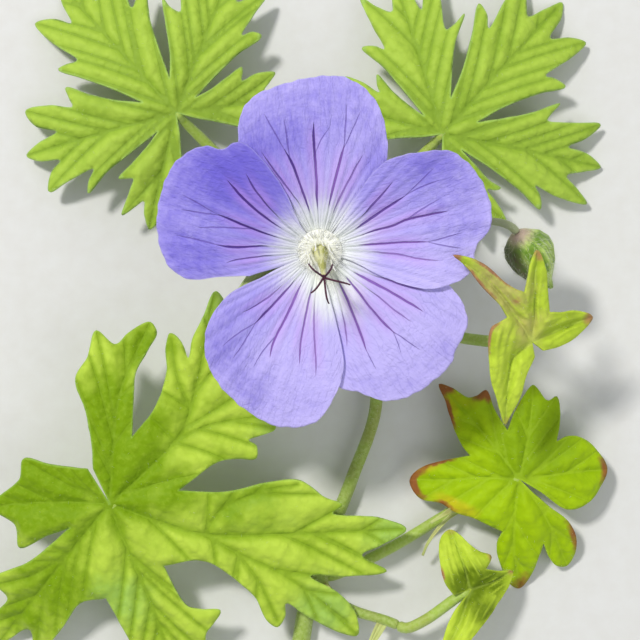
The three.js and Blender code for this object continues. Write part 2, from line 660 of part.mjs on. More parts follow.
// Splits every marked edge of every face, so that faces on both sides of an edge are split alike.
function splitLongest(points, split, isLong, indexOf) {
  const halfway = (a, b) => indexOf(points[a].clone().add(points[b]).multiplyScalar(0.5));
  const faces = [];
  for (const { first, second, third } of split) {
    if (!isLong(first, second)) {
      faces.push([first, second, third]);
      continue;
    }
    const middle = halfway(first, second);
    const tail = isLong(second, third) ? halfway(second, third) : null;
    const head = isLong(third, first) ? halfway(third, first) : null;
    const nearTail = [[middle, second, tail], [middle, tail, third]];
    const nearHead = [[first, middle, head], [head, middle, third]];
    faces.push(...(tail === null ? [[middle, second, third]] : nearTail));
    faces.push(...(head === null ? [[first, middle, third]] : nearHead));
  }
  return faces;
}

function gapTo(line, point) {
  return Math.min(...line.slice(1).map((end, index) => {
    const way = end.clone().sub(line[index]);
    const along = point.clone().sub(line[index]).dot(way) / way.lengthSq();
    return point.distanceTo(line[index].clone().addScaledVector(way, THREE.MathUtils.clamp(along, 0, 1)));
  }));
}

// Height of the blade over its palm: folded along each rib, drooping with the reach.
function bladeHeight(leaf, lobes, point) {
  const longest = Math.max(...lobes.map(({ rib }) => rib.at(-1).length()));
  const gaps = lobes.map(({ rib }) => gapTo(rib, point));
  const weights = gaps.map((gap) => (gap + ribFalloff.near) ** -ribFalloff.power);
  const total = weights.reduce((sum, weight) => sum + weight);
  const droop = lobes.reduce((sum, lobe, index) => sum + (lobe.droop * weights[index]) / total, 0);
  const slope = leaf.slope[0] * point.x + leaf.slope[1] * point.y;
  return slope + leaf.fold * Math.min(...gaps) - (droop * point.lengthSq()) / longest;
}

function makeLeaf(leaf) {
  const lobes = leaf.lobes ? drawnLobes(leaf) : regularLobes(leaf);
  const { points, faces } = meshPlan(lobes);
  const [palmX, palmY, palmZ] = leaf.palm;
  const middle = points.map((point) => (
    new THREE.Vector3(palmX + point.x, palmY + point.y, palmZ + bladeHeight(leaf, lobes, point))));
  const blade = thickBlade(middle, faces, new THREE.Vector3(0, 0, 1), 0);
  const route = [...leaf.stalk, leaf.palm];
  const radii = route.map((_, index) => (index < route.length - 1 ? petiole.radius : petiole.tipRadius));
  const stipules = (leaf.stipules ?? []).map(makeBract);
  return geometryOf(fuse([blade, taperedTube(route, radii, 6, 12), ...stipules]));
}

// A small pointed bract that arches from the stem and hooks at its tip.
function makeBract(bract) {
  const from = new THREE.Vector3(...bract.at);
  const to = new THREE.Vector3(...bract.tip);
  const way = to.clone().sub(from);
  const across = new THREE.Vector3(-way.y, way.x, 0).normalize();
  const rows = 5;
  const middle = [];
  for (let row = 0; row <= rows; row += 1) {
    const share = row / rows;
    const centre = from.clone().lerp(to, share);
    centre.z += bract.arch * Math.sin(share * Math.PI) * share;
    const half = Math.max((bract.width / 2) * (1 - share ** 2), 0.3);
    [-1, 1].forEach((side) => middle.push(centre.clone().addScaledVector(across, side * half)));
  }
  return thickBlade(middle, gridFaces(rows, 1), new THREE.Vector3(0, 0, 1));
}

function makeSwelling({ at, size }) {
  const ball = new THREE.SphereGeometry(1, 12, 8);
  ball.scale(...size);
  ball.translate(...at);
  return ball;
}

function makeStem() {
  const tubes = routes.map(({ points, radius, taper }, index) => {
    const [sides, steps] = index === 0 ? [8, 26] : [6, 12];
    return taperedTube(points, taper.map((share) => share * radius), sides, steps);
  });
  const grown = fuse([...tubes, ...swellings.map(makeSwelling), ...bracts.map(makeBract)]);
  const underside = new THREE.BoxGeometry(400, 400, 20);
  underside.translate(0, 0, -10);
  return geometryOf(grown.subtract(solidFrom(underside)));
}

const plant = new THREE.Group();
plant.add(pieceOf('stem', makeStem(), colours.stem));
for (const [name, leaf] of Object.entries(leaves)) {
  plant.add(pieceOf(name, makeLeaf(leaf), leaf.colour));
}
plant.add(pieceOf('calyx', makeCalyx(), colours.sepal));
for (const [name, petal] of Object.entries(petals)) {
  plant.add(pieceOf(name, makePetal(petal), colours.petal, 0.5));
}
plant.add(pieceOf('pistil', makePistil(), colours.pistil));
plant.add(pieceOf('stigmas', makeStigmas(), colours.stigma));
plant.add(pieceOf('filaments', makeFilaments(), colours.filament));
plant.add(pieceOf('bud', makeBud(), colours.bud));

export default plant;
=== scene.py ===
import bpy
import math
import numpy as np
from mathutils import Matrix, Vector
from mathutils.geometry import delaunay_2d_cdt


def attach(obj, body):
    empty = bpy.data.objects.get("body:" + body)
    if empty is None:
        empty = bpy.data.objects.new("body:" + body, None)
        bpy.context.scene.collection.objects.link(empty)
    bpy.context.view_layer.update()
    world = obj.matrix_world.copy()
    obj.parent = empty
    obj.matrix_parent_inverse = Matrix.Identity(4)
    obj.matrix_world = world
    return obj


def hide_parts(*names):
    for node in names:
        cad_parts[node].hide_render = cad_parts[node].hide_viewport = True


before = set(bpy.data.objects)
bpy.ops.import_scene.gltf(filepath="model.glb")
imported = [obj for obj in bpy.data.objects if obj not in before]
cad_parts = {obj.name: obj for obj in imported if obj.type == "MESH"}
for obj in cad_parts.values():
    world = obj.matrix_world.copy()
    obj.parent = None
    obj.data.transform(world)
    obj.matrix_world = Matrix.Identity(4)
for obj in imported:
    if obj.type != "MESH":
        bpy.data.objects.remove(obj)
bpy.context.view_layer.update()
mm = 0.001  # every size below is in millimetres, and is written in metres

# Camera, lights and floor

camera = {"place": (0, -9.56, 261.3), "lens": 100, "sensor": 36, "nearest": 10}
lights = {
    "keyLight": {"place": (-330, 330, 720), "size": 110, "power": 4.85, "colour": (1, 0.99, 0.975)},
    "fillLight": {"place": (420, -260, 560), "size": 500, "power": 1.0, "colour": (0.93, 0.96, 1)},
}
studio = {"floorSize": 900, "floorDrop": 0.1, "floorColour": (0.8, 0.8, 0.78, 1), "floorGrain": "#dedcd6",
          "grainScale": 0.4, "roughness": 0.8, "bump": 0.02,
          "skyColour": (0.93, 0.96, 1, 1), "skyStrength": 0.42}

bpy.ops.object.camera_add(location=[c * mm for c in camera["place"]], rotation=(0, 0, 0))
bpy.context.object.data.lens = camera["lens"]
bpy.context.object.data.sensor_width = camera["sensor"]
bpy.context.object.data.clip_start = camera["nearest"] * mm
bpy.context.scene.camera = bpy.context.object

for lightName, lamp in lights.items():
    place = Vector(lamp["place"]) * mm
    aim = (-place).to_track_quat("-Z", "Y").to_euler()
    bpy.ops.object.light_add(type="AREA", location=place, rotation=aim)
    bpy.context.object.name = lightName
    bpy.context.object.data.size = lamp["size"] * mm
    bpy.context.object.data.energy = lamp["power"]
    bpy.context.object.data.color = lamp["colour"]

sky = bpy.data.worlds.new("studioSky")
sky.use_nodes = True
sky.node_tree.nodes["Background"].inputs["Color"].default_value = studio["skyColour"]
sky.node_tree.nodes["Background"].inputs["Strength"].default_value = studio["skyStrength"]
bpy.context.scene.world = sky
bpy.context.scene.view_settings.view_transform = "Standard"

bpy.ops.mesh.primitive_plane_add(size=studio["floorSize"] * mm, location=(0, 0, -studio["floorDrop"] * mm))
floor = bpy.context.object
floor.name = "floor"
print("camera, lights and floor placed")


# Shader maths: a wire is a socket that takes part in sums

class Wire:
    def __init__(self, tree, socket=None):
        self.tree, self.socket = tree, socket

    def node(self, kind, settings=None, inputs=None, output=0):
        made = self.tree.nodes.new(kind)
        for key, value in (settings or {}).items():
            if key == "stops":  # a colour ramp, as (place, colour) pairs
                ends = made.color_ramp.elements
                for stop, (where, tone) in zip((ends[0], ends[1]), (value[0], value[-1])):
                    stop.position, stop.color = where, tone
                for where, tone in value[1:-1]:
                    ends.new(where).color = tone
            elif key == "curve":  # a float curve, as (x, y) pairs
                line = made.mapping.curves[0].points
                line[0].location, line[1].location = value[0], value[-1]
                for x, y in value[1:-1]:
                    line.new(x, y)
                made.mapping.update()
            else:
                setattr(made, key, value)
        for key, value in (inputs or {}).items():
            if isinstance(value, Wire):
                self.tree.links.new(value.socket, made.inputs[key])
            else:
                made.inputs[key].default_value = value
        return Wire(self.tree, made.outputs[output] if made.outputs else None)

    def maths(self, operation, *values):
        return self.node("ShaderNodeMath", {"operation": operation}, dict(enumerate(values)))

    def __add__(self, other):
        return self.maths("ADD", self, other)

    def __radd__(self, other):
        return self.maths("ADD", other, self)

    def __sub__(self, other):
        return self.maths("SUBTRACT", self, other)

    def __rsub__(self, other):
        return self.maths("SUBTRACT", other, self)

    def __mul__(self, other):
        return self.maths("MULTIPLY", self, other)

    def __rmul__(self, other):
        return self.maths("MULTIPLY", other, self)

    def __truediv__(self, other):
        return self.maths("DIVIDE", self, other)

    def __abs__(self):
        return self.maths("ABSOLUTE", self)


def shade(hexColour):  # "#rrggbb" as the linear colour that shaders take
    parts = [int(hexColour[i:i + 2], 16) / 255 for i in (1, 3, 5)]
    return tuple(p / 12.92 if p <= 0.04045 else ((p + 0.055) / 1.055) ** 2.4 for p in parts) + (1,)


def rise(value, low, high):  # 0 below low, 1 above high
    return value.node("ShaderNodeMapRange", {"interpolation_type": "SMOOTHSTEP"},
                      {"Value": value, "From Min": low, "From Max": high})


def larger(first, second):
    return first.maths("MAXIMUM", first, second)


def mix(factor, first, second):
    return factor.node("ShaderNodeMix", {"data_type": "RGBA"}, {0: factor, 6: first, 7: second}, 2)


def layered(colour, *coats):  # each coat is how much of it shows, and its colour
    for amount, tone in coats:
        colour = mix(amount, colour, shade(tone))
    return colour


def kept(brush, name):  # a value that the mesh holds for each of its points
    return brush.node("ShaderNodeAttribute", {"attribute_name": name}, output="Fac")


def noise(brush, where, scale, detail=3, roughness=0.55):
    inputs = {"Vector": where, "Scale": scale, "Detail": detail, "Roughness": roughness}
    return brush.node("ShaderNodeTexNoise", {}, inputs, "Fac")


def cells(brush, where, scale, feature, **more):
    inputs = {"Vector": where, "Scale": scale, **more}
    return brush.node("ShaderNodeTexVoronoi", {"feature": feature}, inputs, "Distance")


def vector(brush, x, y, z):
    return brush.node("ShaderNodeCombineXYZ", {}, {"X": x, "Y": y, "Z": z})


def newPaint(name):
    material = bpy.data.materials.new(name)
    material.use_nodes = True
    material.node_tree.nodes.clear()
    return material, Wire(material.node_tree)


def newSolidPaint(name):  # a paint that lies by Object coordinates, in millimetres
    material, brush = newPaint(name)
    metres = brush.node("ShaderNodeTexCoord", output="Object")
    place = brush.node("ShaderNodeVectorMath", {"operation": "SCALE"}, {0: metres, "Scale": 1 / mm})
    return material, brush, place


def finishPaint(brush, colour, roughness, relief, depth, specular=0.5, **constants):
    bump = brush.node("ShaderNodeBump", {}, {"Height": relief, "Strength": 1, "Distance": depth * mm})
    inputs = {"Base Color": colour, "Roughness": roughness, "Normal": bump, "Specular IOR Level": specular}
    inputs.update({key.replace("_", " "): value for key, value in constants.items()})
    shader = brush.node("ShaderNodeBsdfPrincipled", {}, inputs)
    brush.node("ShaderNodeOutputMaterial", {}, {"Surface": shader})


# Mesh helpers

def smooth(value, low, high):  # 0 below low, 1 above high
    share = np.clip((value - low) / (high - low), 0, 1)
    return share * share * (3 - 2 * share)


def spot(x, y, centreX, centreY, size):  # 1 at its centre, fading out
    return np.exp(-((x - centreX) ** 2 + (y - centreY) ** 2) / size ** 2)


def polar(reach, degrees):
    return np.array([reach * math.cos(math.radians(degrees)), reach * math.sin(math.radians(degrees))])


def unit(ways):
    return ways / np.linalg.norm(ways, axis=1)[:, None]


def lengthOf(route):
    return np.linalg.norm(np.diff(np.array(route, float), axis=0), axis=1).sum()


def readPoints(piece):
    points = np.empty(len(piece.data.vertices) * 3)
    piece.data.vertices.foreach_get("co", points)
    return points.reshape(-1, 3)


def writePoints(piece, points):
    piece.data.vertices.foreach_set("co", np.ascontiguousarray(points, dtype=np.float32).ravel())
    piece.data.update()


def keep(piece, **layers):  # values for each point, which the paint reads
    for name, values in layers.items():
        layer = piece.data.attributes.new(name, "FLOAT", "POINT")
        layer.data.foreach_set("value", np.ascontiguousarray(values, dtype=np.float32))


def pick(piece):
    bpy.ops.object.select_all(action="DESELECT")
    piece.select_set(True)
    bpy.context.view_layer.objects.active = piece


def applied(piece, kind, **settings):
    pick(piece)
    modifier = piece.modifiers.new(kind.lower(), kind)
    for key, value in settings.items():
        setattr(modifier, key, value)
    bpy.ops.object.modifier_apply(modifier=modifier.name)


def thickened(piece, thickness):
    applied(piece, "SOLIDIFY", thickness=thickness * mm, offset=0)
    return piece


def inEditMode(piece, *steps):
    pick(piece)
    bpy.ops.object.mode_set(mode="EDIT")
    bpy.ops.mesh.select_all(action="SELECT")
    for step in steps:
        step()
    bpy.ops.object.mode_set(mode="OBJECT")


def mergeDoubles():
    bpy.ops.mesh.remove_doubles(threshold=0.002 * mm)


def turnOutwards():
    bpy.ops.mesh.normals_make_consistent(inside=False)


def meshPiece(name, points, faces):
    mesh = bpy.data.meshes.new(name)
    mesh.from_pydata((points * mm).tolist(), [], faces)
    piece = bpy.data.objects.new(name, mesh)
    bpy.context.collection.objects.link(piece)
    inEditMode(piece, turnOutwards)
    return piece


def sheetPiece(name, columns, rows, shape):  # a grid whose squares are laid over a surface
    bpy.ops.object.select_all(action="DESELECT")
    bpy.ops.mesh.primitive_grid_add(x_subdivisions=columns, y_subdivisions=rows, size=2)
    piece = bpy.context.object
    piece.name = piece.data.name = name
    flat = readPoints(piece)
    writePoints(piece, shape(flat[:, 0], flat[:, 1]) * mm)
    return piece


def roundPiece(name, columns, rows, shape):  # a grid rolled up and closed at its ends
    piece = sheetPiece(name, columns, rows, shape)
    inEditMode(piece, mergeDoubles, turnOutwards)
    return piece


def joined(name, pieces):
    pick(pieces[0])
    for piece in pieces[1:]:
        piece.select_set(True)
    bpy.ops.object.join()
    pieces[0].name = pieces[0].data.name = name
    return pieces[0]


def smoothRoute(points, count):  # even steps along a soft curve through the points
    points = np.array(points, float)
    padded = np.vstack([2 * points[0] - points[1], points, 2 * points[-1] - points[-2]])
    fine = []
    for before, start, end, after in zip(padded, padded[1:], padded[2:], padded[3:]):
        g0, g1, g2 = (max(np.linalg.norm(b - a), 1e-6) ** 0.5 for a, b in
                      ((before, start), (start, end), (end, after)))
        out = ((start - before) / g0 - (end - before) / (g0 + g1) + (end - start) / g1) * g1
        into = ((end - start) / g1 - (after - start) / (g1 + g2) + (after - end) / g2) * g1
        s = np.linspace(0, 1, 24, endpoint=False)[:, None]
        fine.append(start + out * s + (3 * (end - start) - 2 * out - into) * s ** 2
                    + (2 * (start - end) + out + into) * s ** 3)
    fine = np.vstack(fine + [points[-1:]])
    gone = np.concatenate([[0], np.cumsum(np.linalg.norm(np.diff(fine, axis=0), axis=1))])
    even = np.linspace(0, gone[-1], count)
    return np.stack([np.interp(even, gone, fine[:, i]) for i in range(fine.shape[1])], axis=1)


def placesAlong(line, share):  # between a line's even steps, by the share of its length
    steps = share * (len(line) - 1)
    return np.stack([np.interp(steps, range(len(line)), line[:, i]) for i in range(3)], axis=1)


def framesAlong(line):  # a side and a front direction at each point, turning as little as possible
    ways = unit(np.gradient(line, axis=0))
    side = np.cross(ways[0], (0, 0, 1) if abs(ways[0][2]) < 0.9 else (1, 0, 0))
    sides = []
    for way in ways:
        side = side - way * (side @ way)
        side = side / np.linalg.norm(side)
        sides.append(side)
    sides = np.array(sides)
    return sides, np.cross(ways, sides)


def tube(name, route, radii, around=14, step=0.5, ribs=0, ribHeight=0.0):  # closed and rounded at its ends
    length = lengthOf(route)
    rows = max(int(length / step), 8)
    line = smoothRoute(route, rows)
    sides, fronts = framesAlong(line)

    def shape(x, y):
        share, angle = (y + 1) / 2, np.pi * (x + 1)
        end = np.minimum(share, 1 - share) * length
        radius = np.interp(share * (len(radii) - 1), range(len(radii)), radii)
        rounding = np.sqrt(np.clip(end / (radius * 0.7), 0, 1))
        radius = radius * rounding * (1 + ribHeight * np.cos(angle * ribs))
        at, side, front = (placesAlong(part, share) for part in (line, sides, fronts))
        return at + radius[:, None] * (np.cos(angle)[:, None] * side + np.sin(angle)[:, None] * front)

    return roundPiece(name, around, rows, shape)


spike = {"lengths": (0.6, 1.15), "sway": 0.35, "bend": 0.16, "rings": ((0, 1), (0.55, 0.7)),
         "corners": (0, 2.094, 4.189), "clear": 0.1, "lowest": 0.02}  # rings are (share of length, of width)


def hairs(name, roots, ways, lengths, width, seed, sway=spike["sway"]):  # one spike, copied to every root
    draw = np.random.default_rng(seed)
    ways = unit(ways + draw.normal(0, sway, ways.shape))
    lowestEnd = np.minimum(roots[:, 2], roots[:, 2] + ways[:, 2] * lengths)
    clear = lowestEnd > spike["clear"]  # none grows into the table
    roots, ways, lengths = roots[clear], ways[clear], lengths[clear]
    count = len(roots)
    side = unit(np.cross(ways, draw.normal(0, 1, (count, 3))))
    other = np.cross(ways, side)
    lengths = lengths * draw.uniform(*spike["lengths"], count)
    bend = draw.normal(0, spike["bend"], (count, 3)) * lengths[:, None]
    corners = []
    for share, thick in spike["rings"]:
        centre = roots + ways * (lengths * share)[:, None] + bend * share ** 2
        for turn in spike["corners"]:
            corners.append(centre + (side * math.cos(turn) + other * math.sin(turn)) * width / 2 * thick)
    corners.append(roots + ways * lengths[:, None] + bend)
    points = np.stack(corners, axis=1).reshape(-1, 3)
    points[:, 2] = np.maximum(points[:, 2], spike["lowest"])
    one = [(0, 2, 1), (0, 1, 4, 3), (1, 2, 5, 4), (2, 0, 3, 5), (3, 4, 6), (4, 5, 6), (5, 3, 6)]
    faces = [tuple(i * 7 + corner for corner in face) for i in range(count) for face in one]
    return meshPiece(name, points, faces)


def surfacePlaces(piece, count, seed, lowest=-1e9):  # random places on a piece with their normals
    piece.data.calc_loop_triangles()
    points = readPoints(piece) / mm
    corners = np.empty(len(piece.data.loop_triangles) * 3, int)
    piece.data.loop_triangles.foreach_get("vertices", corners)
    a, b, c = (points[corners.reshape(-1, 3)[:, i]] for i in range(3))
    normal = np.cross(b - a, c - a)
    size = np.linalg.norm(normal, axis=1)
    draw = np.random.default_rng(seed)
    chosen = draw.choice(len(size), count, p=size / size.sum())
    u, v = draw.random((2, count, 1))
    over = u + v > 1
    u, v = np.where(over, 1 - u, u), np.where(over, 1 - v, v)
    places = a[chosen] + u * (b - a)[chosen] + v * (c - a)[chosen]
    normals = normal[chosen] / size[chosen][:, None]
    above = places[:, 2] > lowest
    return places[above], normals[above]


def distanceTo(points, starts, ends, values=None):  # to the nearest stretch, with that stretch's value
    best, worth = np.full(len(points), 1e9), np.zeros(len(points))
    for i, (a, b) in enumerate(zip(starts, ends)):
        along = b - a
        share = np.clip(((points - a) @ along) / max(along @ along, 1e-9), 0, 1)
        gap = np.linalg.norm(points - a - share[:, None] * along, axis=1)
        nearer = gap < best
        best = np.where(nearer, gap, best)
        if values is not None:
            worth = np.where(nearer, values[i], worth)
    return best, worth


def painted(piece, paint):
    piece.data.materials.append(paint)
    return piece


def settle(piece, node=None, angle=None):
    pick(piece)
    bpy.ops.object.shade_smooth()
    if angle:
        bpy.ops.object.shade_smooth_by_angle(angle=math.radians(angle))
    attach(piece, "root")
    if node:
        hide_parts(node)


def growDown(name, piece, down, paint, wanted=None, lean=0):  # short hairs on a piece
    places, normals = surfacePlaces(piece, down["count"], down["seed"], down.get("lowest", -1e9))
    chosen = wanted(places, normals) if wanted else slice(None)
    places, ways = places[chosen], normals[chosen] + lean
    lengths = np.full(len(places), down["length"])
    settle(painted(hairs(name, places, ways, lengths, down["width"], down["seed"] + 1), paint))


# Floor finish

floorPaint, brush, place = newSolidPaint("paleFloor")
grain = noise(brush, place, studio["grainScale"])
pale = layered(studio["floorColour"], (grain, studio["floorGrain"]))
finishPaint(brush, pale, studio["roughness"], grain, studio["bump"])
painted(floor, floorPaint)


# Petals

bloom = {"throatHeight": 24, "tilt": math.radians(12), "clawRadius": 2.3, "cupDepth": 4.4, "cupRadius": 5.5,
         "rimRadius": 23, "rimDrop": 0.6, "lap": 0.36, "fullWidth": 9}
petalFinish = {
    "columns": 150, "rows": 84, "rimSteps": 300, "thickness": 0.24, "swell": (0.5, 2.6), "furrow": 0.08,
    "rimWaver": (0.05, 0.035), "ruffle": 0.13,
    "ruffles": [(15, 1, 0, 0.55), (31, 1.7, 3, 0.3), (53, 1, 0, 0.15)],  # waves, shift, skew, share of ruffle
    # the pale eye over the distance from the throat
    "eye": [(0, "#f6f6e0"), (3, "#f3f6f0"), (5, "#ebedf2"), (7, "#dcd9f3"), (9.5, "#c3b9f3"),
            (12, "#b3a7f0")],
    "spillHeading": 283, "eyeSpill": 3.0,  # it reaches out furthest under the stigma
    "pale": "#cbbfff", "deep": "#7063d6", "flush": "#cb9aec", "net": "#7466d0", "paintedRimHighlight": "#ddd6ff",
    "vein": "#3c0f7e", "paleVein": "#8355b4", "thinVein": "#6a4cba", "baseVein": "#8f9a90",
    "throatVein": "#7d7890",
    "shows": {"flush": 0.5, "net": 0.13, "root": 0.42, "thin": 0.62, "bold": 0.92, "rim": 0.2},
    "curveSpan": (25, 100),  # the radius and the angle that a vein's curve covers
    "roughness": 0.5, "bump": 0.26,
}
# for each petal: where it points; half the claw's spread and the lie over (1) or under (-1) the neighbour on
# both sides; how far its eye falls short; how deep its colour is in the middle and how that changes across,
# and deeper places (x, y, size, more), which are partly the petal's own deeper violet and partly painted
# shade, deepest on the petals that face away from the light; its rim from the clockwise side round to the
# other, as turns from where it points with the reach at each. Veins are (width, [(distance, angle) from
# straight above, ...]).
petals = {
    "petal_right": {
        "piece": "rightPetal", "heading": 17, "claw": (32, 37), "over": (1, 1), "eyeShift": 0.6,
        "tone": (0.36, 0.24),
        "deeper": [(14, 12, 4, 0.26), (20, 3.5, 4, 0.1), (13.5, -3.5, 4, -0.1)],
        "rim": [(-37.3, 10.8), (-36.6, 12.8), (-35, 15), (-31, 17.3), (-24, 19.9), (-13.5, 20.7),
                (-10, 22.2), (-4, 23.1), (5, 23.2), (14, 22.7), (21.5, 21.6), (27.5, 19.2), (37, 15.4),
                (40, 13), (41, 9.8)],
        "veins": [
            (0.32, [(6.4, 17.2), (7.9, 16.9), (10, 16.3), (11.7, 17.4), (15.6, 16), (17.3, 15.5)]),
            (0.15, [(11.4, 17.2), (14, 20), (16.8, 21.6)]),
            (0.33, [(6, 28.6), (7.4, 29.4), (10.5, 30.4), (13, 30.9)]),
            (0.15, [(12.7, 30.9), (14.8, 30.6), (17.8, 29)]),
            (0.14, [(12.7, 30.9), (15.5, 33), (17.8, 34.4)]),
            (0.24, [(7.4, 37.8), (8.3, 38.5), (9.7, 39.5), (12.6, 41.8)]),
            (0.28, [(6, 3.7), (6.6, 3.5), (10.5, 3.4), (14.3, 2.5)]),
            (0.15, [(14, 2.6), (16.7, 4.5), (18.6, 5.4)]), (0.15, [(14, 2.6), (16.5, 0.4), (18.4, -0.4)]),
            (0.21, [(7.8, -4.8), (8.5, -4.9), (10.6, -5.1), (12.9, -6.6), (15.6, -6.3)]),
        ]},
    "petal_top": {
        "piece": "topPetal", "heading": 93, "claw": (37, 34), "over": (-1, -1), "eyeShift": 0.2,
        "tone": (0.46, 0.02),
        "deeper": [(8, 12, 2.6, 0.22), (-3.6, 15.6, 3.4, 0.16), (-7.4, 13, 3.2, 0.22), (1, 10, 3, -0.25),
                   (5, 14, 3.5, -0.12)],
        "rim": [(-41, 12), (-38, 15.2), (-31, 18.2), (-24.5, 20.7), (-18, 22.3), (-10, 23.2), (1, 22.9),
                (12, 22.5), (20, 22.2), (26, 21), (32.5, 18.3), (37, 15.6), (40, 12)],
        "veins": [
            (0.34, [(5.8, 93.6), (9, 93), (12.1, 93.4), (15.9, 92.9)]),
            (0.14, [(11.9, 93.2), (13.6, 89.6), (15.3, 85.7)]),
            (0.31, [(5.6, 106.6), (6.5, 107.1), (10.5, 108.2), (13.4, 110)]),
            (0.15, [(13, 109.9), (15.7, 111.7), (18.4, 112.8)]),
            (0.13, [(11.8, 109), (14.5, 107.2), (17.2, 105.8)]),
            (0.31, [(6.2, 77.8), (7.1, 77.5), (10.7, 76.8), (13.6, 76.6)]),
            (0.15, [(13.2, 76.6), (15.9, 77.9), (18.5, 79.2)]),
            (0.13, [(12.8, 76.6), (15.5, 74.5), (18, 73.2)]), (0.21, [(5.5, 68.9), (8.9, 66.8), (13, 65)]),
            (0.21, [(7, 116.4), (7.5, 117.2), (10.1, 120), (14.2, 121.6)]),
        ]},
    "petal_left": {
        "piece": "leftPetal", "heading": 162, "claw": (34, 40), "over": (1, 0), "eyeShift": 1.4,
        "tone": (0.68, -0.18),
        "deeper": [(-16.5, -1, 3.5, 0.16), (-11.5, 10.5, 4, 0.28), (-20, 1, 5, 0.1), (-16, 4, 3.5, -0.14)],
        "rim": [(-43, 11), (-41, 14.5), (-37, 18), (-29, 18.8), (-25.5, 20.6), (-14.5, 22.3), (1, 22.1),
                (13, 21.3), (22.5, 20), (28, 18.2), (30.2, 16.4), (31, 14.2), (33, 11.8), (36, 9.7)],
        "veins": [
            (0.32, [(6.6, 165.8), (8.3, 165.3), (9.9, 164.2), (14, 162.4)]),
            (0.15, [(13.6, 162.5), (16.1, 164.1), (18.6, 165.1)]),
            (0.14, [(14, 162.4), (16.5, 160.6), (19, 159.4)]),
            (0.14, [(8.7, 164.9), (12.4, 168.4), (16, 170.8)]),
            (0.32, [(6.4, 152.8), (7.3, 152), (10.5, 149.1), (11.6, 147.9), (14.8, 144.4)]),
            (0.24, [(7.4, 142.8), (8.5, 141.6), (10.6, 139.2), (13.4, 135.6)]),
            (0.3, [(7.6, 178.8), (8.7, 179.3), (11.7, 180), (13.4, 179)]),
            (0.16, [(13, 179.2), (16, 176.8), (18.6, 175.4)]),
            (0.21, [(7.2, 188.8), (8.1, 188.7), (10.4, 188.4), (12.4, 189.4)]),
        ]},
    "petal_lower_left": {
        "piece": "lowerLeftPetal", "heading": 250, "claw": (50, 30), "over": (0, 1), "eyeShift": 1.2,
        "tone": (0.2, -0.26),
        "deeper": [(-8.5, -8, 2.5, 0.2), (-6, -12, 4, -0.12), (-14, -12.5, 4, 0.26), (-9.5, -18.5, 3, 0.22),
                   (-1, -20, 2.5, 0.1)],
        "rim": [(-46.9, 10.8), (-46, 12.6), (-43.5, 14.5), (-37, 17.8), (-28, 20.5), (-19, 22.1),
                (-8, 23.3), (4, 24.3), (13, 23.9), (19.5, 22.6), (24, 20.3), (28.5, 17.8), (32, 15.2),
                (33, 12.5)],
        "veins": [
            (0.3, [(5.2, 242.8), (9.4, 244), (13.7, 243.8), (15.9, 245.4)]),
            (0.14, [(12.5, 243.9), (15, 241.6), (18, 240.8)]),
            (0.32, [(6.4, 231.8), (9.7, 230.5), (13.3, 229)]),
            (0.15, [(13, 229.1), (15.5, 226.5), (18.2, 225.3)]),
            (0.15, [(13, 229.1), (15.6, 231), (18.6, 231.8)]),
            (0.25, [(6.2, 258), (11.1, 258), (15.6, 260)]),
            (0.21, [(8, 265), (10.9, 265.8), (14, 267.7), (16.8, 268.2)]),
            (0.21, [(8, 224.8), (10.6, 223), (13.2, 219.8)]),
        ]},
    "petal_lower_right": {
        "piece": "lowerRightPetal", "heading": 312, "claw": (30, 31), "over": (-1, -1), "eyeShift": 0.8,
        "tone": (0.08, 0.04),
        "deeper": [(9, -9.5, 5, -0.25), (6.5, -18.5, 3, 0.2), (17.5, -13.5, 3, 0.2), (12, -17, 3, 0.12)],
        "rim": [(-41, 14), (-38, 16.8), (-33, 18.5), (-26, 19.6), (-19, 21.7), (-10, 22.8), (6, 23.1),
                (12.5, 22.3), (22, 21.8), (28.5, 20), (34, 17.4), (38.5, 14), (41, 10)],
        "veins": [
            (0.33, [(6, 311.6), (6.7, 311.2), (10.4, 310), (15.2, 311.2)]),
            (0.15, [(14.6, 311.1), (18.9, 314.5)]), (0.15, [(14.6, 311.1), (17.6, 307.6)]),
            (0.33, [(6.4, 325), (7.3, 325.7), (10.3, 327.3), (14.2, 328.2), (16, 328.1)]),
            (0.33, [(5.6, 298.6), (9.2, 296.7), (12.1, 295.5), (15, 294.4)]),
            (0.15, [(14.6, 294.5), (17.6, 294.8)]), (0.21, [(9.6, 288.6), (10.9, 287.9), (13.5, 285.3)]),
            (0.21, [(9, 319.6), (12.2, 320), (15.4, 320.8)]),
            (0.21, [(8.8, 333.4), (12.2, 335.5), (15, 337.6)]),
        ]},
}


def onBloom(x, y, height):  # from the bloom's own frame to the plant's
    cosine, sine = math.cos(bloom["tilt"]), math.sin(bloom["tilt"])
    up = bloom["throatHeight"] + y * sine + height * cosine
    return np.stack([x, y * cosine - height * sine, up], axis=-1)


def saucer(radius):
    drop = bloom["rimDrop"] * (radius / bloom["rimRadius"]) ** 4
    return bloom["cupDepth"] * (1 - np.exp(-radius / bloom["cupRadius"])) - drop


def onFace(distance, angle):  # a place seen from straight above, as radius and angle on the bloom's face
    x, y = polar(distance, angle)
    y = (y + float(saucer(distance)) * math.sin(bloom["tilt"])) / math.cos(bloom["tilt"])
    return math.hypot(x, y), math.degrees(math.atan2(y, x)) % 360


def petalRim(petal, count):  # turn and reach at even steps round the rim
    turns, reaches = np.array(petal["rim"]).T
    turns = np.radians(turns)
    line = smoothRoute(np.stack([reaches * np.cos(turns), reaches * np.sin(turns)], axis=1), count)
    return np.degrees(np.arctan2(line[:, 1], line[:, 0])), np.hypot(line[:, 0], line[:, 1])


def petalWidening(petal, turn, radius):  # the half spread at a radius, and the widest one on that side
    widest = np.where(turn < 0, -petal["rim"][0][0], petal["rim"][-1][0])
    claw = np.where(turn < 0, petal["claw"][0], petal["claw"][1])
    return claw + (widest - claw) * smooth(radius, bloom["clawRadius"], bloom["fullWidth"]), widest


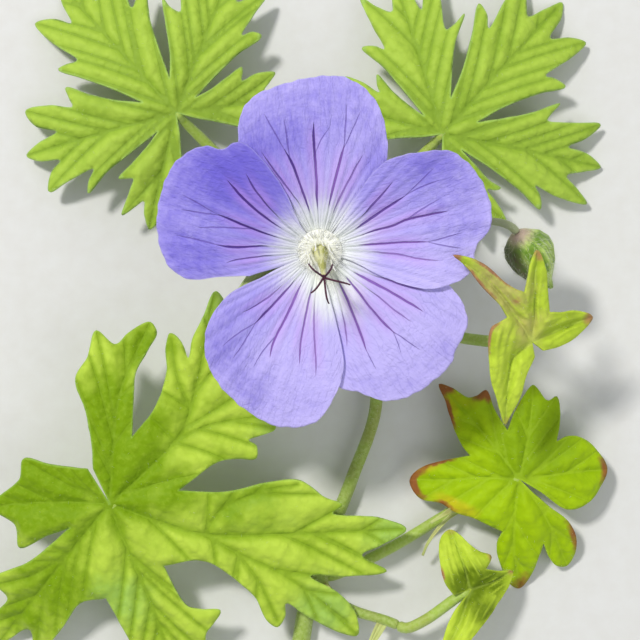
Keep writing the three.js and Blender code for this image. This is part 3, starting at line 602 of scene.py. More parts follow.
def petalLie(petal, column, along):
    waver, (swellHeight, swellTurns) = petalFinish["rimWaver"], petalFinish["swell"]
    rimTurns, reaches = petalRim(petal, petalFinish["rimSteps"])
    steps = np.linspace(-1, 1, petalFinish["rimSteps"])
    rimTurn, rim = np.interp(column, steps, rimTurns), np.interp(column, steps, reaches)
    rim = rim + waver[0] * np.sin(column * 47 + petal["heading"]) + waver[1] * np.sin(column * 83 + 1.3)
    radius = bloom["clawRadius"] + (rim - bloom["clawRadius"]) * along
    half, widest = petalWidening(petal, rimTurn, radius)
    across = rimTurn / widest
    lap = bloom["lap"] * np.where(across < 0, *petal["over"]) * smooth(np.abs(across), 0.35, 0.82)
    lap = lap * smooth(radius, 0, 3)
    swell = swellHeight * np.sin(across * swellTurns + petal["heading"]) * along ** 2 * (1 - across ** 2)
    return radius, across * half, saucer(radius) + lap + swell, across


def veinLine(petal, path):  # a vein's angle from the petal's middle at each radius
    line = []
    for distance, angle in path:
        radius, turn = onFace(distance, angle)
        line.append((radius, (turn - petal["heading"] + 180) % 360 - 180))
    return line


def petalRelief(petal, across, along, radius, turn):
    height, shift = np.zeros_like(radius), petal["heading"]
    for width, path in petal["veins"]:
        line = veinLine(petal, path)
        first, last = line[0][0], line[-1][0]
        gap = (turn - np.interp(radius, *zip(*line))) * np.radians(1) * radius
        here = smooth(radius, first - 1.5, first + 1) * (1 - smooth(radius, last - 1, last + 2.5))
        height -= petalFinish["furrow"] * (width / 0.3) * np.exp(-(gap / 0.45) ** 2) * here
    ruffle = sum(np.sin(across * waves + shift * moved + along * skew) * share
                 for waves, moved, skew, share in petalFinish["ruffles"])
    height += petalFinish["ruffle"] * ruffle * smooth(along, 0.6, 1) ** 2 * (1 - 0.5 * np.abs(across))
    folds = 0.06 * np.sin(turn * 0.62 + shift) * smooth(along, 0.1, 0.4)
    return height + (folds + 0.035 * np.sin(turn * 1.31 + shift * 2 + radius * 0.3))


def petalTone(petal, across, x, y):  # how deep the colour is, from 0 to 1
    middle, slope = petal["tone"]
    tone = middle + slope * across
    for placeX, placeY, size, more in petal["deeper"]:
        tone += more * spot(x, y, placeX, placeY, size)
    return tone


def petalPaint(petal):
    look, shows, heading = petalFinish, petalFinish["shows"], petal["heading"]
    material, brush = newPaint(petal["piece"] + "Paint")
    radius, turn, rimGap, tone = (kept(brush, name) for name in ("radius", "turn", "rimGap", "tone"))

    def grain(across, along, depth=heading, detail=2, roughness=0.55):
        return noise(brush, vector(brush, across, along, depth), 1, detail, roughness)

    fine = grain(turn * 0.42, radius * 0.1, heading, 4, 0.6)
    broad = grain(turn * 0.09, radius * 0.16)
    mottle = grain(turn * radius * 0.045, radius * 0.8, heading, 4, 0.65)
    crinkle = (grain(turn * radius * 0.011, radius * 0.9, heading + 7, 3, 0.6) - 0.5) * rise(radius, 10, 18)
    wander = grain(turn * 0.1, radius * 0.35, 3) - 0.5
    # pale eye that runs out into the violet in streaks
    below = 1 - rise(abs(turn + (heading - look["spillHeading"])), 15, 50)
    eased = radius + (petal["eyeShift"] - below * look["eyeSpill"]) + (fine - 0.5) * 4 + (broad - 0.5) * 2
    eyeReach = look["eye"][-1][0]
    stops = [(distance / eyeReach, shade(tint)) for distance, tint in look["eye"]]
    eye = brush.node("ShaderNodeValToRGB", {"stops": stops}, {"Fac": eased * (1 / eyeReach)})
    depth = tone + (broad - 0.5) * 0.4 + (fine - 0.5) * 0.26 + (mottle - 0.5) * 0.4 - crinkle * 0.45
    depth = depth - (1 - rise(rimGap, 0.2, 1.6)) * 0.1
    # pale to deep violet by the tone: partly the petal's own colour, partly painted shade on the petals
    # turned away from the light
    blade = layered(shade(look["pale"]), (rise(depth, -0.1, 1.1), look["deep"]))
    ground = mix(rise(eased, 5.8, 11.5), eye, blade)
    bold, thin, root, flush = 0.0, 0.0, 0.0, 0.0
    furthest, swing = look["curveSpan"]
    for width, path in petal["veins"]:
        line = veinLine(petal, path)
        first, last = line[0][0], line[-1][0]
        whole = width > 0.2  # a main vein runs on to the claw as a faint line
        if whole:
            atFirst, atClaw = (petalWidening(petal, line[0][1], r)[0] for r in (first, bloom["clawRadius"]))
            line = [(bloom["clawRadius"], line[0][1] * float(atClaw / atFirst))] + line
        points = [(r / furthest, angle / swing + 0.5) for r, angle in line]
        curve = brush.node("ShaderNodeFloatCurve", {"curve": points}, {"Value": radius * (1 / furthest)})
        gap = abs((turn - (curve - 0.5) * swing) * radius * math.radians(1) + wander * 0.22)
        start = first - (1.6 if whole else 0.4)
        here = rise(radius, start, first + 2) * (1 - rise(radius, last - 1.9, last + 0.6))
        shown = (1 - rise(gap / (here * (width * 0.46) + 0.012), 0.6, 1.3)) * rise(here, 0.02, 0.25)
        if whole:
            claw = (1 - rise(gap, 0.03, 0.17)) * (1 - rise(radius, first, first + 2)) * rise(radius, 2.8, 4.2)
            halo = (1 - rise(gap, 0.1, 1.6)) * rise(radius, first - 1, first + 2)
            bold = larger(shown * min(width / 0.28, 1), bold)
            root = larger(claw, root)
            flush = larger(halo * (1 - rise(radius, last - 3.5, last + 1.5)), flush)
        else:
            thin = larger(shown, thin)
    # a net of the finest veins, drawn out along the petal
    netPlace = vector(brush, turn * radius * 0.0075 + wander * 0.5, radius * 0.12, heading)
    meshes = cells(brush, netPlace, 2.6, "DISTANCE_TO_EDGE")
    net = (1 - rise(meshes, 0.0, 0.055)) * rise(radius, 8, 14) * rise(broad, 0.3, 0.6)
    colour = layered(ground, (flush * rise(fine, 0.1, 0.7) * shows["flush"], look["flush"]),
                     (net * shows["net"], look["net"]), (root * shows["root"], look["baseVein"]),
                     (thin * shows["thin"], look["thinVein"]))
    boldColour = layered(shade(look["paleVein"]), (rise(tone, 0.22, 0.55), look["vein"]),
                         (1 - rise(radius, 3.6, 6.6), look["throatVein"]))
    colour = mix(bold * shows["bold"], colour, boldColour)
    # painted highlight: a pale line along the rim, where the thin edge would catch the light
    colour = layered(colour, ((1 - rise(rimGap, 0.02, 0.2)) * shows["rim"], look["paintedRimHighlight"]))
    relief = fine * 0.4 + mottle * 0.7 + crinkle - larger(bold, thin) * 0.4 - net * 0.12
    finishPaint(brush, colour, look["roughness"] + fine * 0.15, relief, look["bump"], 0.35,
                Sheen_Weight=0.2, Sheen_Roughness=0.4)
    return material


for node, petal in petals.items():
    def laid(column, along):
        radius, turn, height, across = petalLie(petal, column, along)
        angle = np.radians(petal["heading"] + turn)
        return radius, turn, across, radius * np.cos(angle), radius * np.sin(angle), height

    def shape(x, y):
        radius, turn, across, faceX, faceY, height = laid(-x, (y + 1) / 2)
        return onBloom(faceX, faceY, height + petalRelief(petal, across, (y + 1) / 2, radius, turn))

    columns, rows = petalFinish["columns"], petalFinish["rows"]
    piece = sheetPiece(petal["piece"], columns, rows, shape)
    side, row = np.meshgrid(np.linspace(1, -1, columns + 1), np.linspace(0, 1, rows + 1))
    radius, turn, across, faceX, faceY, _ = laid(side.ravel(), row.ravel())
    grid = np.stack([faceX, faceY], axis=1).reshape(rows + 1, -1, 2)
    rim = np.vstack([grid[:, 0], grid[-1], grid[::-1, -1]])
    rimGap, _ = distanceTo(grid.reshape(-1, 2), rim[:-1], rim[1:])
    keep(piece, radius=radius, turn=turn, rimGap=rimGap, tone=petalTone(petal, across, faceX, faceY))
    thickened(piece, petalFinish["thickness"])
    settle(painted(piece, petalPaint(petal)), node)
print("petals laid out:", len(petals))


# Leaves

leafFinish = {
    "thickness": 0.3, "outerHalf": 24, "ribNear": 0.8, "groove": 0.4, "quilt": 0.85, "quiltWidth": 1.4,
    "crinkle": 0.09, "waver": 0.16, "pleatWidth": 0.85, "outlineStep": 0.35, "ribStep": 0.6, "veinStep": 3.4,
    "setBack": 1.8, "lowest": 0.18, "roughness": 0.5, "bump": 0.16,
    "stalkRadius": 0.8, "stalkEnd": 0.6, "stalkRibs": 5, "ribHeight": 0.04, "bractThickness": 0.28,
    "hairLength": 0.5, "hairWidth": 0.026,
    "widths": {"rib": (0.46, 0.22), "branch": (0.34, 0.18), "side": (0.3, 0.14)},
    # half a regular lobe from its tip to the notch: share of its half angle, share of its length
    "cut": [(0, 1), (0.13, 0.91), (0.22, 0.79), (0.34, 0.88), (0.5, 0.96), (0.58, 0.8), (0.62, 0.64),
            (0.74, 0.68), (0.9, 0.73), (0.86, 0.55), (0.86, 0.38), (1, 0.22)],
}
leafGreens = {  # "show" and "shadow" are how much of the vein and of the painted shade beside it shows
    "summer": {"show": 0.36, "shadow": 0.6, "light": "#c4df4c", "deep": "#7da100", "vein": "#80a020",
               "pale": "#a8d060", "red": "#a8542e", "gold": "#cfc440"},
    "back": {"show": 0.4, "shadow": 0.45, "light": "#b4d24c", "deep": "#7ca01f", "vein": "#7d9c30",
             "pale": "#b0d87c", "red": "#a8542e", "gold": "#cfc440"},
    "flushed": {"show": 0.14, "shadow": 0.3, "light": "#aacc00", "deep": "#88aa00", "vein": "#bcd648",
                "pale": "#b4d636", "red": "#9c4034", "gold": "#d8c820"},
    "young": {"show": 0.12, "shadow": 0.25, "light": "#c4de3c", "deep": "#6c840c", "vein": "#dcec80",
              "pale": "#d6ee4a", "red": "#b0685a", "gold": "#d6c67c"},
}
# Places are in the leaf's own plan, with its palm at (0, 0). Tints are (x, y, size, how far in from the rim
# or 0 for all over, amount). Lobes are the rib on the way to the tip, the tip, how much it droops, and the
# rim from the notch before the lobe; a leaf without them has regular lobes with the given turns and lengths.
leaves = {
    "leaf_lower_left": {
        "piece": "lowerLeftLeaf", "slot": "leaf", "greens": "summer", "step": 0.4, "hairs": 500,
        "palm": (-29.6, -35.4, 11), "slope": (-0.02, 0.17), "fold": 0.14,
        "stalk": [(-2.2, -47.2, 2.2), (-3.85, -47.45, 2.5), (-11, -45.5, 3.2), (-21, -40.5, 4.8),
                  (-27.6, -36.5, 8.4)],
        "branches": [[(13.2, -4.6), (15.3, -1.3), (21, 1.6), (26.4, 2.6)],
                     [(13.2, -4.6), (18.6, -7.6), (24.4, -10.4), (33.4, -17.4)],
                     [(17.6, -7), (21, -11.6), (23.4, -17)], [(8.6, 8.4), (13.8, 11), (21.6, 12.4)],
                     [(10.4, 10.4), (16.4, 14.2), (21.6, 17.4)], [(11.4, 13.4), (9.6, 18), (8.8, 23)],
                     [(-5.6, -6.8), (-11, -10.4), (-16.4, -12)]],
        "tints": {
            "deep": [(-10, 3, 9, 0, 0.75), (9, 2, 4, 0, 0.5), (5.6, 22.2, 3.2, 0, 0.7), (19, 1, 5, 0, 0.5),
                     (-9, -13, 8, 0, 0.45), (1.5, 5, 6, 0, 1.0), (1, 10, 6, 0, 1.3),
                     (2.5, 1.5, 2.8, 0, 1.4)],
            "pale": [(41, -5, 5, 0, 0.8), (30, -15.6, 5, 0, 0.8), (15, 28, 5, 0, 0.7), (22, 11, 4, 2, 0.5),
                     (8, -29, 6, 0, 0.6), (22, 2, 9, 0, 0.25), (1.7, -14, 5, 0, 0.7)],
        },
        "lobes": [
            ([(-6, 0.2), (-12, 0)], (-17, -0.6), 0.3,
             [(-3, 5), (-8, 5.6), (-12, 6.4), (-12.6, 3.6), (-17, -0.6), (-13.4, -3.2), (-13, -6.4),
              (-9, -4.6)]),
            ([(-5.6, -6.8), (-11.4, -14)], (-17.4, -21.4), 0.42,
             [(-5.6, -3.4), (-11.6, -8.4), (-17.4, -11.4), (-15.4, -14.2), (-19.4, -18.6), (-17.4, -21.4),
              (-12.6, -19), (-11.8, -23), (-7.6, -18.6), (-4.6, -14.6)]),
            ([(2.6, -7.4), (5.4, -14.4), (8, -23)], (10.2, -31.7), 0.17,
             [(-0.8, -13.6), (0.8, -17), (2.3, -20.2), (4, -26.4), (4.4, -31), (6.6, -29.6), (10.2, -31.7),
              (11, -27.4), (14.4, -25.6), (13.6, -22.6), (13.2, -19.4), (14.4, -17.5), (15.4, -15.6),
              (12.6, -15.4), (10.7, -15), (9.3, -13)]),
            ([(6.8, -2.6), (13.6, -4.6), (27, -4.6)], (42, -4.2), 0.08,
             [(7.4, -8.9), (13.2, -8.3), (17.5, -11), (20.4, -13.8), (22, -17.2), (23.5, -18.2),
              (24.6, -16.6), (24.7, -14.6), (28, -16.8), (33, -19.4), (35, -19.7), (34.8, -16.6),
              (32.4, -13.4), (28.2, -10.7), (33.4, -10.8), (39.2, -10.2), (35.6, -7.8), (38.4, -6.4),
              (42, -4.2), (38, -2.4), (31.4, -1.6), (32.8, -0.4), (30.2, 0.8), (26.8, 3.2), (22.4, 3),
              (16.4, 1.7)]),
            ([(5, 4.4), (10.4, 10.4), (13, 19)], (15, 29.9), 0.12,
             [(9.7, 1.9), (12, 3.6), (15, 5.8), (18, 6.4), (20.6, 6.4), (20.7, 8.2), (19.6, 9),
              (23.4, 10.6), (21.4, 13.6), (23.4, 18), (19.6, 19.6), (17.6, 24), (16.8, 27.4), (15, 29.9),
              (13.3, 26.4), (11.8, 23.2), (11.2, 20.5), (10.2, 22.8), (8.6, 24), (8, 22), (8.2, 19),
              (7.6, 16.2), (6.4, 13.4)]),
            ([(0.6, 8), (1.6, 16)], (5.6, 25.6), 0.3,
             [(3.3, 9.4), (3.5, 15.3), (3.8, 18.6), (5.4, 21.6), (6.6, 24), (5.6, 25.6), (2.6, 24),
              (0.8, 22.4), (-1.8, 24.4), (-3, 20.6), (-4.6, 17.6), (-3.2, 13), (-2.4, 8.4), (-2.2, 5)]),
        ],
    },
    "leaf_lower_right": {
        "piece": "lowerRightLeaf", "slot": "leaf_flushed", "greens": "flushed", "step": 0.4, "hairs": 260,
        "palm": (28.6, -32.4, 6.5), "slope": (0, 0.03), "fold": 0.12,
        "stalk": [(0.2, -46.9, 2.1), (1.9, -46.75, 2.2), (10, -43, 1.6), (20, -37, 2.2), (27, -33.2, 4.8)],
        "stipules": [([(20, -37.2, 2.6), (18.9, -37, 4.6), (17.6, -37.6, 5.9), (15.9, -38.7, 5.7)], 0.85),
                     ([(19.8, -37.6, 2.4), (18.6, -38.2, 3.7), (17, -39.8, 4.3), (15.6, -41.8, 4.2),
                       (14.9, -43.7, 3.2)], 0.6)],
        "tints": {
            "red": [(-11.3, 13.5, 2.6, 1.3, 1), (-4.9, 12.5, 2, 1.3, 1), (-10, 9.6, 3.4, 0.7, 0.9),
                    (-15.4, -0.8, 3.6, 1.2, 1), (-11.4, 2.4, 3.4, 0.6, 0.8), (-10.6, -4, 3, 0.9, 0.7),
                    (9, -8, 4, 1.1, 0.8), (1, -16, 2.6, 0, 0.7), (12.6, 1, 3, 1.2, 0.7),
                    (-1, 11, 2, 0.8, 0.6)],
            "gold": [(-9.4, -4.2, 3.6, 2.2, 0.9), (-13, 1.6, 2.6, 1.4, 0.6), (-9, 10, 4, 2, 0.5)],
            "deep": [(3, 7, 6, 0, 0.8), (0, 1, 3, 0, 0.5)],
        },
        "lobes": [
            ([(5, 0.6), (9, 1)], (13, 1.2), 0.3,
             [(3, -1.8), (7, -4.4), (10.2, -3.4), (12, -1), (13, 1.2), (11.4, 4), (9.2, 5.8), (7.2, 6.2)]),
            ([(1, 4.6), (1.8, 9)], (2.3, 13.4), 0.3,
             [(5.3, 5.4), (6, 9), (5.6, 11.8), (4.2, 11.2), (2.3, 13.4), (0.6, 11.6), (-0.6, 9.6)]),
            ([(-3.4, 4.4), (-7.2, 9)], (-11.3, 13.5), 0.24,
             [(-1.7, 7), (-3.4, 9.8), (-4.6, 12.7), (-5.9, 11.9), (-7.2, 11.6), (-9.4, 13), (-11.3, 13.5),
              (-10.4, 11), (-9.8, 8.8), (-8.8, 6), (-7.9, 4.4)]),
            ([(-5, 0.2), (-10, -0.2)], (-15.5, -0.4), 0.32,
             [(-7, 3.4), (-9.4, 2.9), (-12.6, 2), (-14.6, 0.9), (-15.5, -0.4), (-15, -2), (-13.8, -3.2),
              (-11.2, -3.6), (-9.2, -4.8), (-6.6, -5.6), (-4, -6.8)]),
            ([(-0.6, -5.4), (-0.4, -11)], (0.7, -16.5), 0.38,
             [(-2.3, -7.6), (-3, -9.2), (-2.9, -11), (-1.8, -14), (-0.5, -16), (0.7, -16.5), (2.2, -14.4),
              (3, -11.8)]),
            ([(3, -4), (5.4, -8.4)], (7.6, -13), 0.4,
             [(3.7, -9.4), (4.8, -11.8), (6, -13), (7.6, -13), (8.7, -9.6), (7.4, -6.4), (4.4, -4),
              (2, -2)]),
        ],
    },
    "leaf_upper_left": {
        "piece": "upperLeftLeaf", "slot": "leaf", "greens": "back", "step": 0.46, "hairs": 500,
        "palm": (-20.5, 20, 7.5), "heading": 132, "turns": (-124, -62, 0, 62, 124),
        "lengths": (16, 23, 26, 23, 17), "droops": (0.26, 0.26, 0.26, 0.26, 0.26), "slope": (0.03, -0.02),
        "fold": 0.16, "seed": 37,
        "stalk": [(-1.2, 0.6, 1.9), (-2.4, 1.15, 2.1), (-8, 6.5, 2.6), (-15, 14.5, 3.4), (-19.6, 19, 6)],
    },
    "leaf_upper_right": {
        "piece": "upperRightLeaf", "slot": "leaf", "greens": "back", "step": 0.46, "hairs": 500,
        "palm": (17.5, 17, 7), "heading": 48, "turns": (-116, -58, 0, 58, 116),
        "lengths": (16, 24, 27, 24, 17), "droops": (0.26, 0.28, 0.27, 0.26, 0.26), "slope": (-0.02, 0.02),
        "fold": 0.16, "seed": 41,
        "stalk": [(1, 0.9, 1.9), (2.05, 1.75, 2.1), (7, 6.5, 2.6), (13, 12.5, 3.4), (16.8, 16.3, 5.6)],
    },
    "leaf_young_right": {
        "piece": "youngRightLeaf", "slot": "leaf_young", "greens": "young", "step": 0.26, "hairs": 160,
        "pleat": 0.14, "palm": (28.5, -12.5, 22.2), "slope": (-0.44, 0.38), "fold": 0.3,
        "stalk": [(16.1, -11.3, 9.2), (17.1, -11.45, 10), (21, -12.2, 14.8), (25.4, -12.6, 19.2),
                  (27.9, -12.6, 21.4)],
        "tints": {
            "red": [(-11.3, 11.3, 1.8, 0, 0.9), (-6, 0.4, 3.2, 0.45, 0.8), (-2.4, 5.6, 1.1, 0, 0.5),
                    (-5.4, 9.2, 5, 0.45, 0.8), (-8, 7.6, 4, 0.4, 0.8), (0.4, 12, 1.6, 0, 0.7),
                    (8.4, 3.4, 1.8, 0, 0.7), (-3.2, -11.2, 1.5, 0, 0.5)],
            "deep": [(-5, 6.4, 3.6, 0, 0.3)],
            "gold": [(-5, 7, 6, 0, 0.7), (-1, 2, 4, 0, 0.6)],
            "pale": [(-3, -5, 5, 0, 0.9)],
        },
        "lobes": [
            ([(3, 1.4)], (8.6, 3.4), 0.1,
             [(1.6, -1.2), (4.4, -0.4), (6.6, 1), (8.6, 3.4), (6, 4.2), (4, 4)]),
            ([(0.2, 4.6), (0, 8.4)], (0.2, 12.2), 0,
             [(2.2, 4), (1.8, 7), (1.4, 9.8), (0.2, 12.2), (-0.7, 10.4), (-1, 8.6)]),
            ([(-2.8, 4), (-6.4, 8)], (-11.3, 11.3), 0,
             [(-1.4, 6.6), (-2.8, 7.1), (-4.4, 8.1), (-5.8, 9.3), (-7.3, 10.3), (-9, 11), (-11.3, 11.3),
              (-10.1, 10.4), (-9, 9.4), (-7.9, 8), (-6.4, 6.5), (-4.8, 5)]),
            ([(-2.6, -2), (-3.2, -6)], (-3.2, -11.4), 0.12,
             [(-3.6, 3.3), (-4.8, 2.6), (-5.8, 2), (-6.2, 0.2), (-6, -2.2), (-5.6, -5.1), (-4.6, -7.8),
              (-3.9, -9.8), (-3.2, -11.4), (-2.4, -9.8), (-1.4, -7.6), (-0.7, -4.6), (0.4, -2)]),
        ],
    },
    "leaf_young_lower": {
        "piece": "youngLowerLeaf", "slot": "leaf_young", "greens": "young", "step": 0.26, "hairs": 120,
        "pleat": 0.14, "palm": (21.5, -48.2, 6.6), "slope": (0, -0.08), "fold": 0.3,
        "stalk": [(11, -53.5, 4.8), (12.4, -53.9, 5.3), (15, -52.8, 5.4), (19.4, -49.6, 5.9)],
        "tints": {
            "red": [(-2.7, 8.4, 1.6, 0, 0.6), (3, 4.8, 1.2, 0, 0.7), (-4.2, -10.4, 1.8, 0, 0.8),
                    (6.3, 2.4, 1.5, 0, 0.6), (-3.6, 2.4, 1.4, 0.5, 0.8)],
            "deep": [(0, 0.8, 2.4, 0, 1.2), (1.6, -3, 2.4, 0, 0.6), (3.2, 1.2, 2, 0, 0.7)],
            "pale": [(-2.4, -6, 3, 0, 0.8), (-2, 5.2, 2.6, 0, 0.8)],
        },
        "lobes": [
            ([(-1.4, -4.6)], (-4.2, -10.4), 0.1,
             [(-1.2, -1.6), (-2.4, -3.2), (-3.6, -6), (-4.2, -10.4), (-1.8, -9.2), (0.4, -6.6), (2.4, -4),
              (3.8, -2)]),
            ([(3, 0.9)], (6.3, 2.4), 0.4,
             [(4.6, -1), (5.8, 0.8), (6.3, 2.4), (4.2, 2.6)]),
            ([(-1, 4)], (-2.7, 8.4), 0.2,
             [(2.2, 3), (3, 4.8), (1.4, 5.4), (0, 6.4), (-1.2, 7.6), (-2.7, 8.4), (-4, 7.4), (-4.4, 5.6),
              (-4.2, 3.2), (-3.6, 1), (-2.4, -0.6)]),
        ],
    },
}


def jitterFrom(seed):  # a small repeatable unevenness
    state, most = [seed], 2147483647

    def draw(amount):
        state[0] = state[0] * 16807 % most
        return (state[0] / most - 0.5) * 2 * amount
    return draw


def regularLobes(leaf):  # each lobe as its rib, its right and left rims from tip to notch, and its droop
    draw, cut, lobes = jitterFrom(leaf["seed"]), leafFinish["cut"], []
    heading, turns, lengths, notch = leaf["heading"], leaf["turns"], leaf["lengths"], cut[-1][1]
    notches = [polar(min(lengths[i:i + 2]) * notch, heading + (turns[i] + turns[i + 1]) / 2)
               for i in range(len(turns) - 1)]
    for index, (turn, length) in enumerate(zip(turns, lengths)):
        rims = []
        for side in (-1, 1):
            inside = 0 <= index + side < len(turns)
            half = abs(turns[index + side] - turn) / 2 if inside else leafFinish["outerHalf"]
            rim = [polar(length * (share + draw(0.025)), heading + turn + side * half * (angle + draw(0.03)))
                   for angle, share in cut[1:-1]]
            if inside:
                rim.append(notches[index if side > 0 else index - 1])
            else:
                rim.append(polar(length * notch * 0.8, heading + turn + side * half))
            rims.append(rim)
        rib = np.outer((0, 0.25, 0.5, 0.75, 1), polar(length, heading + turn))
        lobes.append((rib, *rims, leaf["droops"][index]))
    return lobes


def drawnLobes(leaf):
    lobes = []
    for index, (rib, tip, droop, rim) in enumerate(leaf["lobes"]):
        after = [leaf["lobes"][index + 1][3][0]] if index + 1 < len(leaf["lobes"]) else []
        at = rim.index(tip)
        lobes.append((np.array([(0, 0)] + rib + [tip], float), rim[:at][::-1], rim[at + 1:] + after, droop))
    return lobes


def softened(corners, step):
    return smoothRoute(corners, max(int(lengthOf(corners) / step), 8))


def rimTargets(rib, rim, side):  # where side veins end: at teeth, and between them where there is room
    step = leafFinish["veinStep"]
    corners = np.array([rib[-1]] + list(rim), float)
    ahead, onward = corners[1:-1] - corners[:-2], corners[2:] - corners[1:-1]
    lengths = np.linalg.norm(ahead, axis=1) * np.linalg.norm(onward, axis=1)
    bends = side * (ahead[:, 0] * onward[:, 1] - ahead[:, 1] * onward[:, 0]) / np.maximum(lengths, 1e-6)
    targets = [corner for corner, bend in zip(corners[1:-1], bends) if bend > 0.3]
    for place in softened(corners, step)[1:-1]:
        if all(np.linalg.norm(place - other) > step * 0.75 for other in targets):
            targets.append(place)
    return targets


def sideVein(target, carriers):  # leaves the nearest rib below the target and bends towards it
    line = min(carriers, key=lambda way: np.linalg.norm(way - target, axis=1).min())
    gaps = np.linalg.norm(line - target, axis=1)
    nearest, gap = int(gaps.argmin()), float(gaps.min())
    back = int(gap * leafFinish["setBack"] / leafFinish["ribStep"])
    start = line[max(nearest - back, int(len(line) * 0.06))]
    onward = line[min(nearest + 1, len(line) - 1)] - line[max(nearest - 1, 0)]
    bend = (start + target) / 2 + onward * gap * 0.09
    s = np.linspace(0, 0.97, 9)[:, None]
    vein = start * (1 - s) ** 2 + bend * 2 * s * (1 - s) + target * s ** 2
    return vein if np.linalg.norm(target - start) >= 1.2 else None


def leafPlan(leaf, lobes):  # the flat outline, and every vein as (line, width at its start, width at its end)
    widths, step = leafFinish["widths"], leafFinish["ribStep"]
    edge = [softened(list(right)[::-1] + [rib[-1]] + list(left), leafFinish["outlineStep"])
            for rib, right, left, _ in lobes]
    outline = np.vstack([[[0.0, 0.0]]] + edge)
    outline = outline[np.linalg.norm(np.diff(outline, axis=0, prepend=outline[-1:]), axis=1) > 0.02]
    ribs = [softened(rib, step) for rib, _, _, _ in lobes]
    branches = [softened(line, step) for line in leaf.get("branches", [])]
    veins = [(rib * 0.985, *widths["rib"]) for rib in ribs] + [(line, *widths["branch"]) for line in branches]
    for line, (rib, *rims, _) in zip(ribs, lobes):
        if "pleat" in leaf:  # young blades show their ribs alone
            break
        carriers = [line] + branches
        for target in rimTargets(rib, rims[0], -1) + rimTargets(rib, rims[1], 1):
            fromTips = min(np.linalg.norm(target - way[-1]) for way in carriers)
            vein = sideVein(target, carriers) if fromTips >= leafFinish["veinStep"] * 0.7 else None
            if vein is not None:
                veins.append((vein, *widths["side"]))
    return outline, veins


def spaced(points, least):  # leaves out those that stand too close to one before them
    chosen = np.empty((0, 2))
    for point in points:
        if not len(chosen) or ((chosen - point) ** 2).sum(axis=1).min() > least ** 2:
            chosen = np.vstack([chosen, point])
    return chosen


def insideOf(points, outline):
    inside = np.zeros(len(points), bool)
    for a, b in zip(outline, np.roll(outline, -1, axis=0)):
        crosses = (a[1] > points[:, 1]) != (b[1] > points[:, 1])
        if crosses.any():
            at = a[0] + (points[:, 1] - a[1]) * (b[0] - a[0]) / (b[1] - a[1] if b[1] != a[1] else 1e-9)
            inside ^= crosses & (points[:, 0] < at)
    return inside


def veinStretches(leaf, outline, veins):  # short straight stretches, as their starts, ends and widths
    stretches = []
    for line, first, last in veins:
        count = max(int(lengthOf(line) / leaf["step"]), 2)
        fine = smoothRoute(line, count + 1)
        fine = fine[np.append(True, insideOf(fine[1:], outline))]
        for i, (a, b) in enumerate(zip(fine, fine[1:])):
            stretches.append((a, b, first + (last - first) * i / count))
    return (np.array([stretch[i] for stretch in stretches]) for i in range(3))


def bladeFaces(step, outline, starts, ends):  # even points over the blade, on its rim and along every vein
    low, high, rimEnd = outline.min(axis=0), outline.max(axis=0), np.roll(outline, -1, axis=0)
    x, y = np.meshgrid(np.arange(low[0], high[0], step), np.arange(low[1], high[1], step * 0.866))
    x[1::2] += step / 2
    field = np.stack([x.ravel(), y.ravel()], axis=1)
    field = field[insideOf(field, outline)]
    field = field[distanceTo(field, starts, ends)[0] > step * 0.55]
    field = field[distanceTo(field, outline, rimEnd)[0] > step * 0.5]
    onVeins = np.vstack([starts, ends])
    onVeins = spaced(onVeins[distanceTo(onVeins, outline, rimEnd)[0] > step * 0.5], step * 0.5)
    corners = [Vector(p) for p in np.vstack([outline, onVeins, field])]
    rimEdges = [(i, (i + 1) % len(outline)) for i in range(len(outline))]
    points, _, faces, _, _, _ = delaunay_2d_cdt(corners, rimEdges, [], 0, 1e-4, False)
    plan = np.array([tuple(p) for p in points])
    middles = np.array([plan[list(face)].mean(axis=0) for face in faces])
    return plan, [face for face, there in zip(faces, insideOf(middles, outline)) if there]


def bladeRise(leaf, lobes, plan):  # sloping, folded along each rib, drooping with the reach
    gaps = np.array([distanceTo(plan, rib[:-1], rib[1:])[0] for rib, _, _, _ in lobes])
    weights = (gaps + leafFinish["ribNear"]) ** -3
    droop = (np.array([lobe[3] for lobe in lobes]) @ weights) / weights.sum(axis=0)
    longest = max(np.linalg.norm(rib[-1]) for rib, _, _, _ in lobes)
    folded = plan @ np.array(leaf["slope"]) + leaf["fold"] * gaps.min(axis=0)
    return folded - droop * (plan ** 2).sum(axis=1) / longest


def lobePleats(leaf, plan):  # fine folds along each lobe, closing up towards its tip
    tips = np.array([tip for _, tip, _, _ in leaf["lobes"]], float)
    notches = np.array([math.atan2(rim[0][1], rim[0][0]) for _, _, _, rim in leaf["lobes"]])
    around = (np.arctan2(plan[:, 1], plan[:, 0]) - notches[0]) % math.tau
    tip = tips[np.searchsorted((notches - notches[0]) % math.tau, around, side="right") - 1]
    length = np.hypot(tip[:, 0], tip[:, 1])
    onward = (plan * tip).sum(axis=1) / length
    aside = (plan[:, 1] * tip[:, 0] - plan[:, 0] * tip[:, 1]) / length
    folds = aside / (1.25 - 0.6 * np.clip(onward / length, 0, 1)) + 0.12 * np.sin(onward * 0.9)
    return np.sin(folds * math.tau / leafFinish["pleatWidth"]) * smooth(np.hypot(onward, aside), 1, 4)


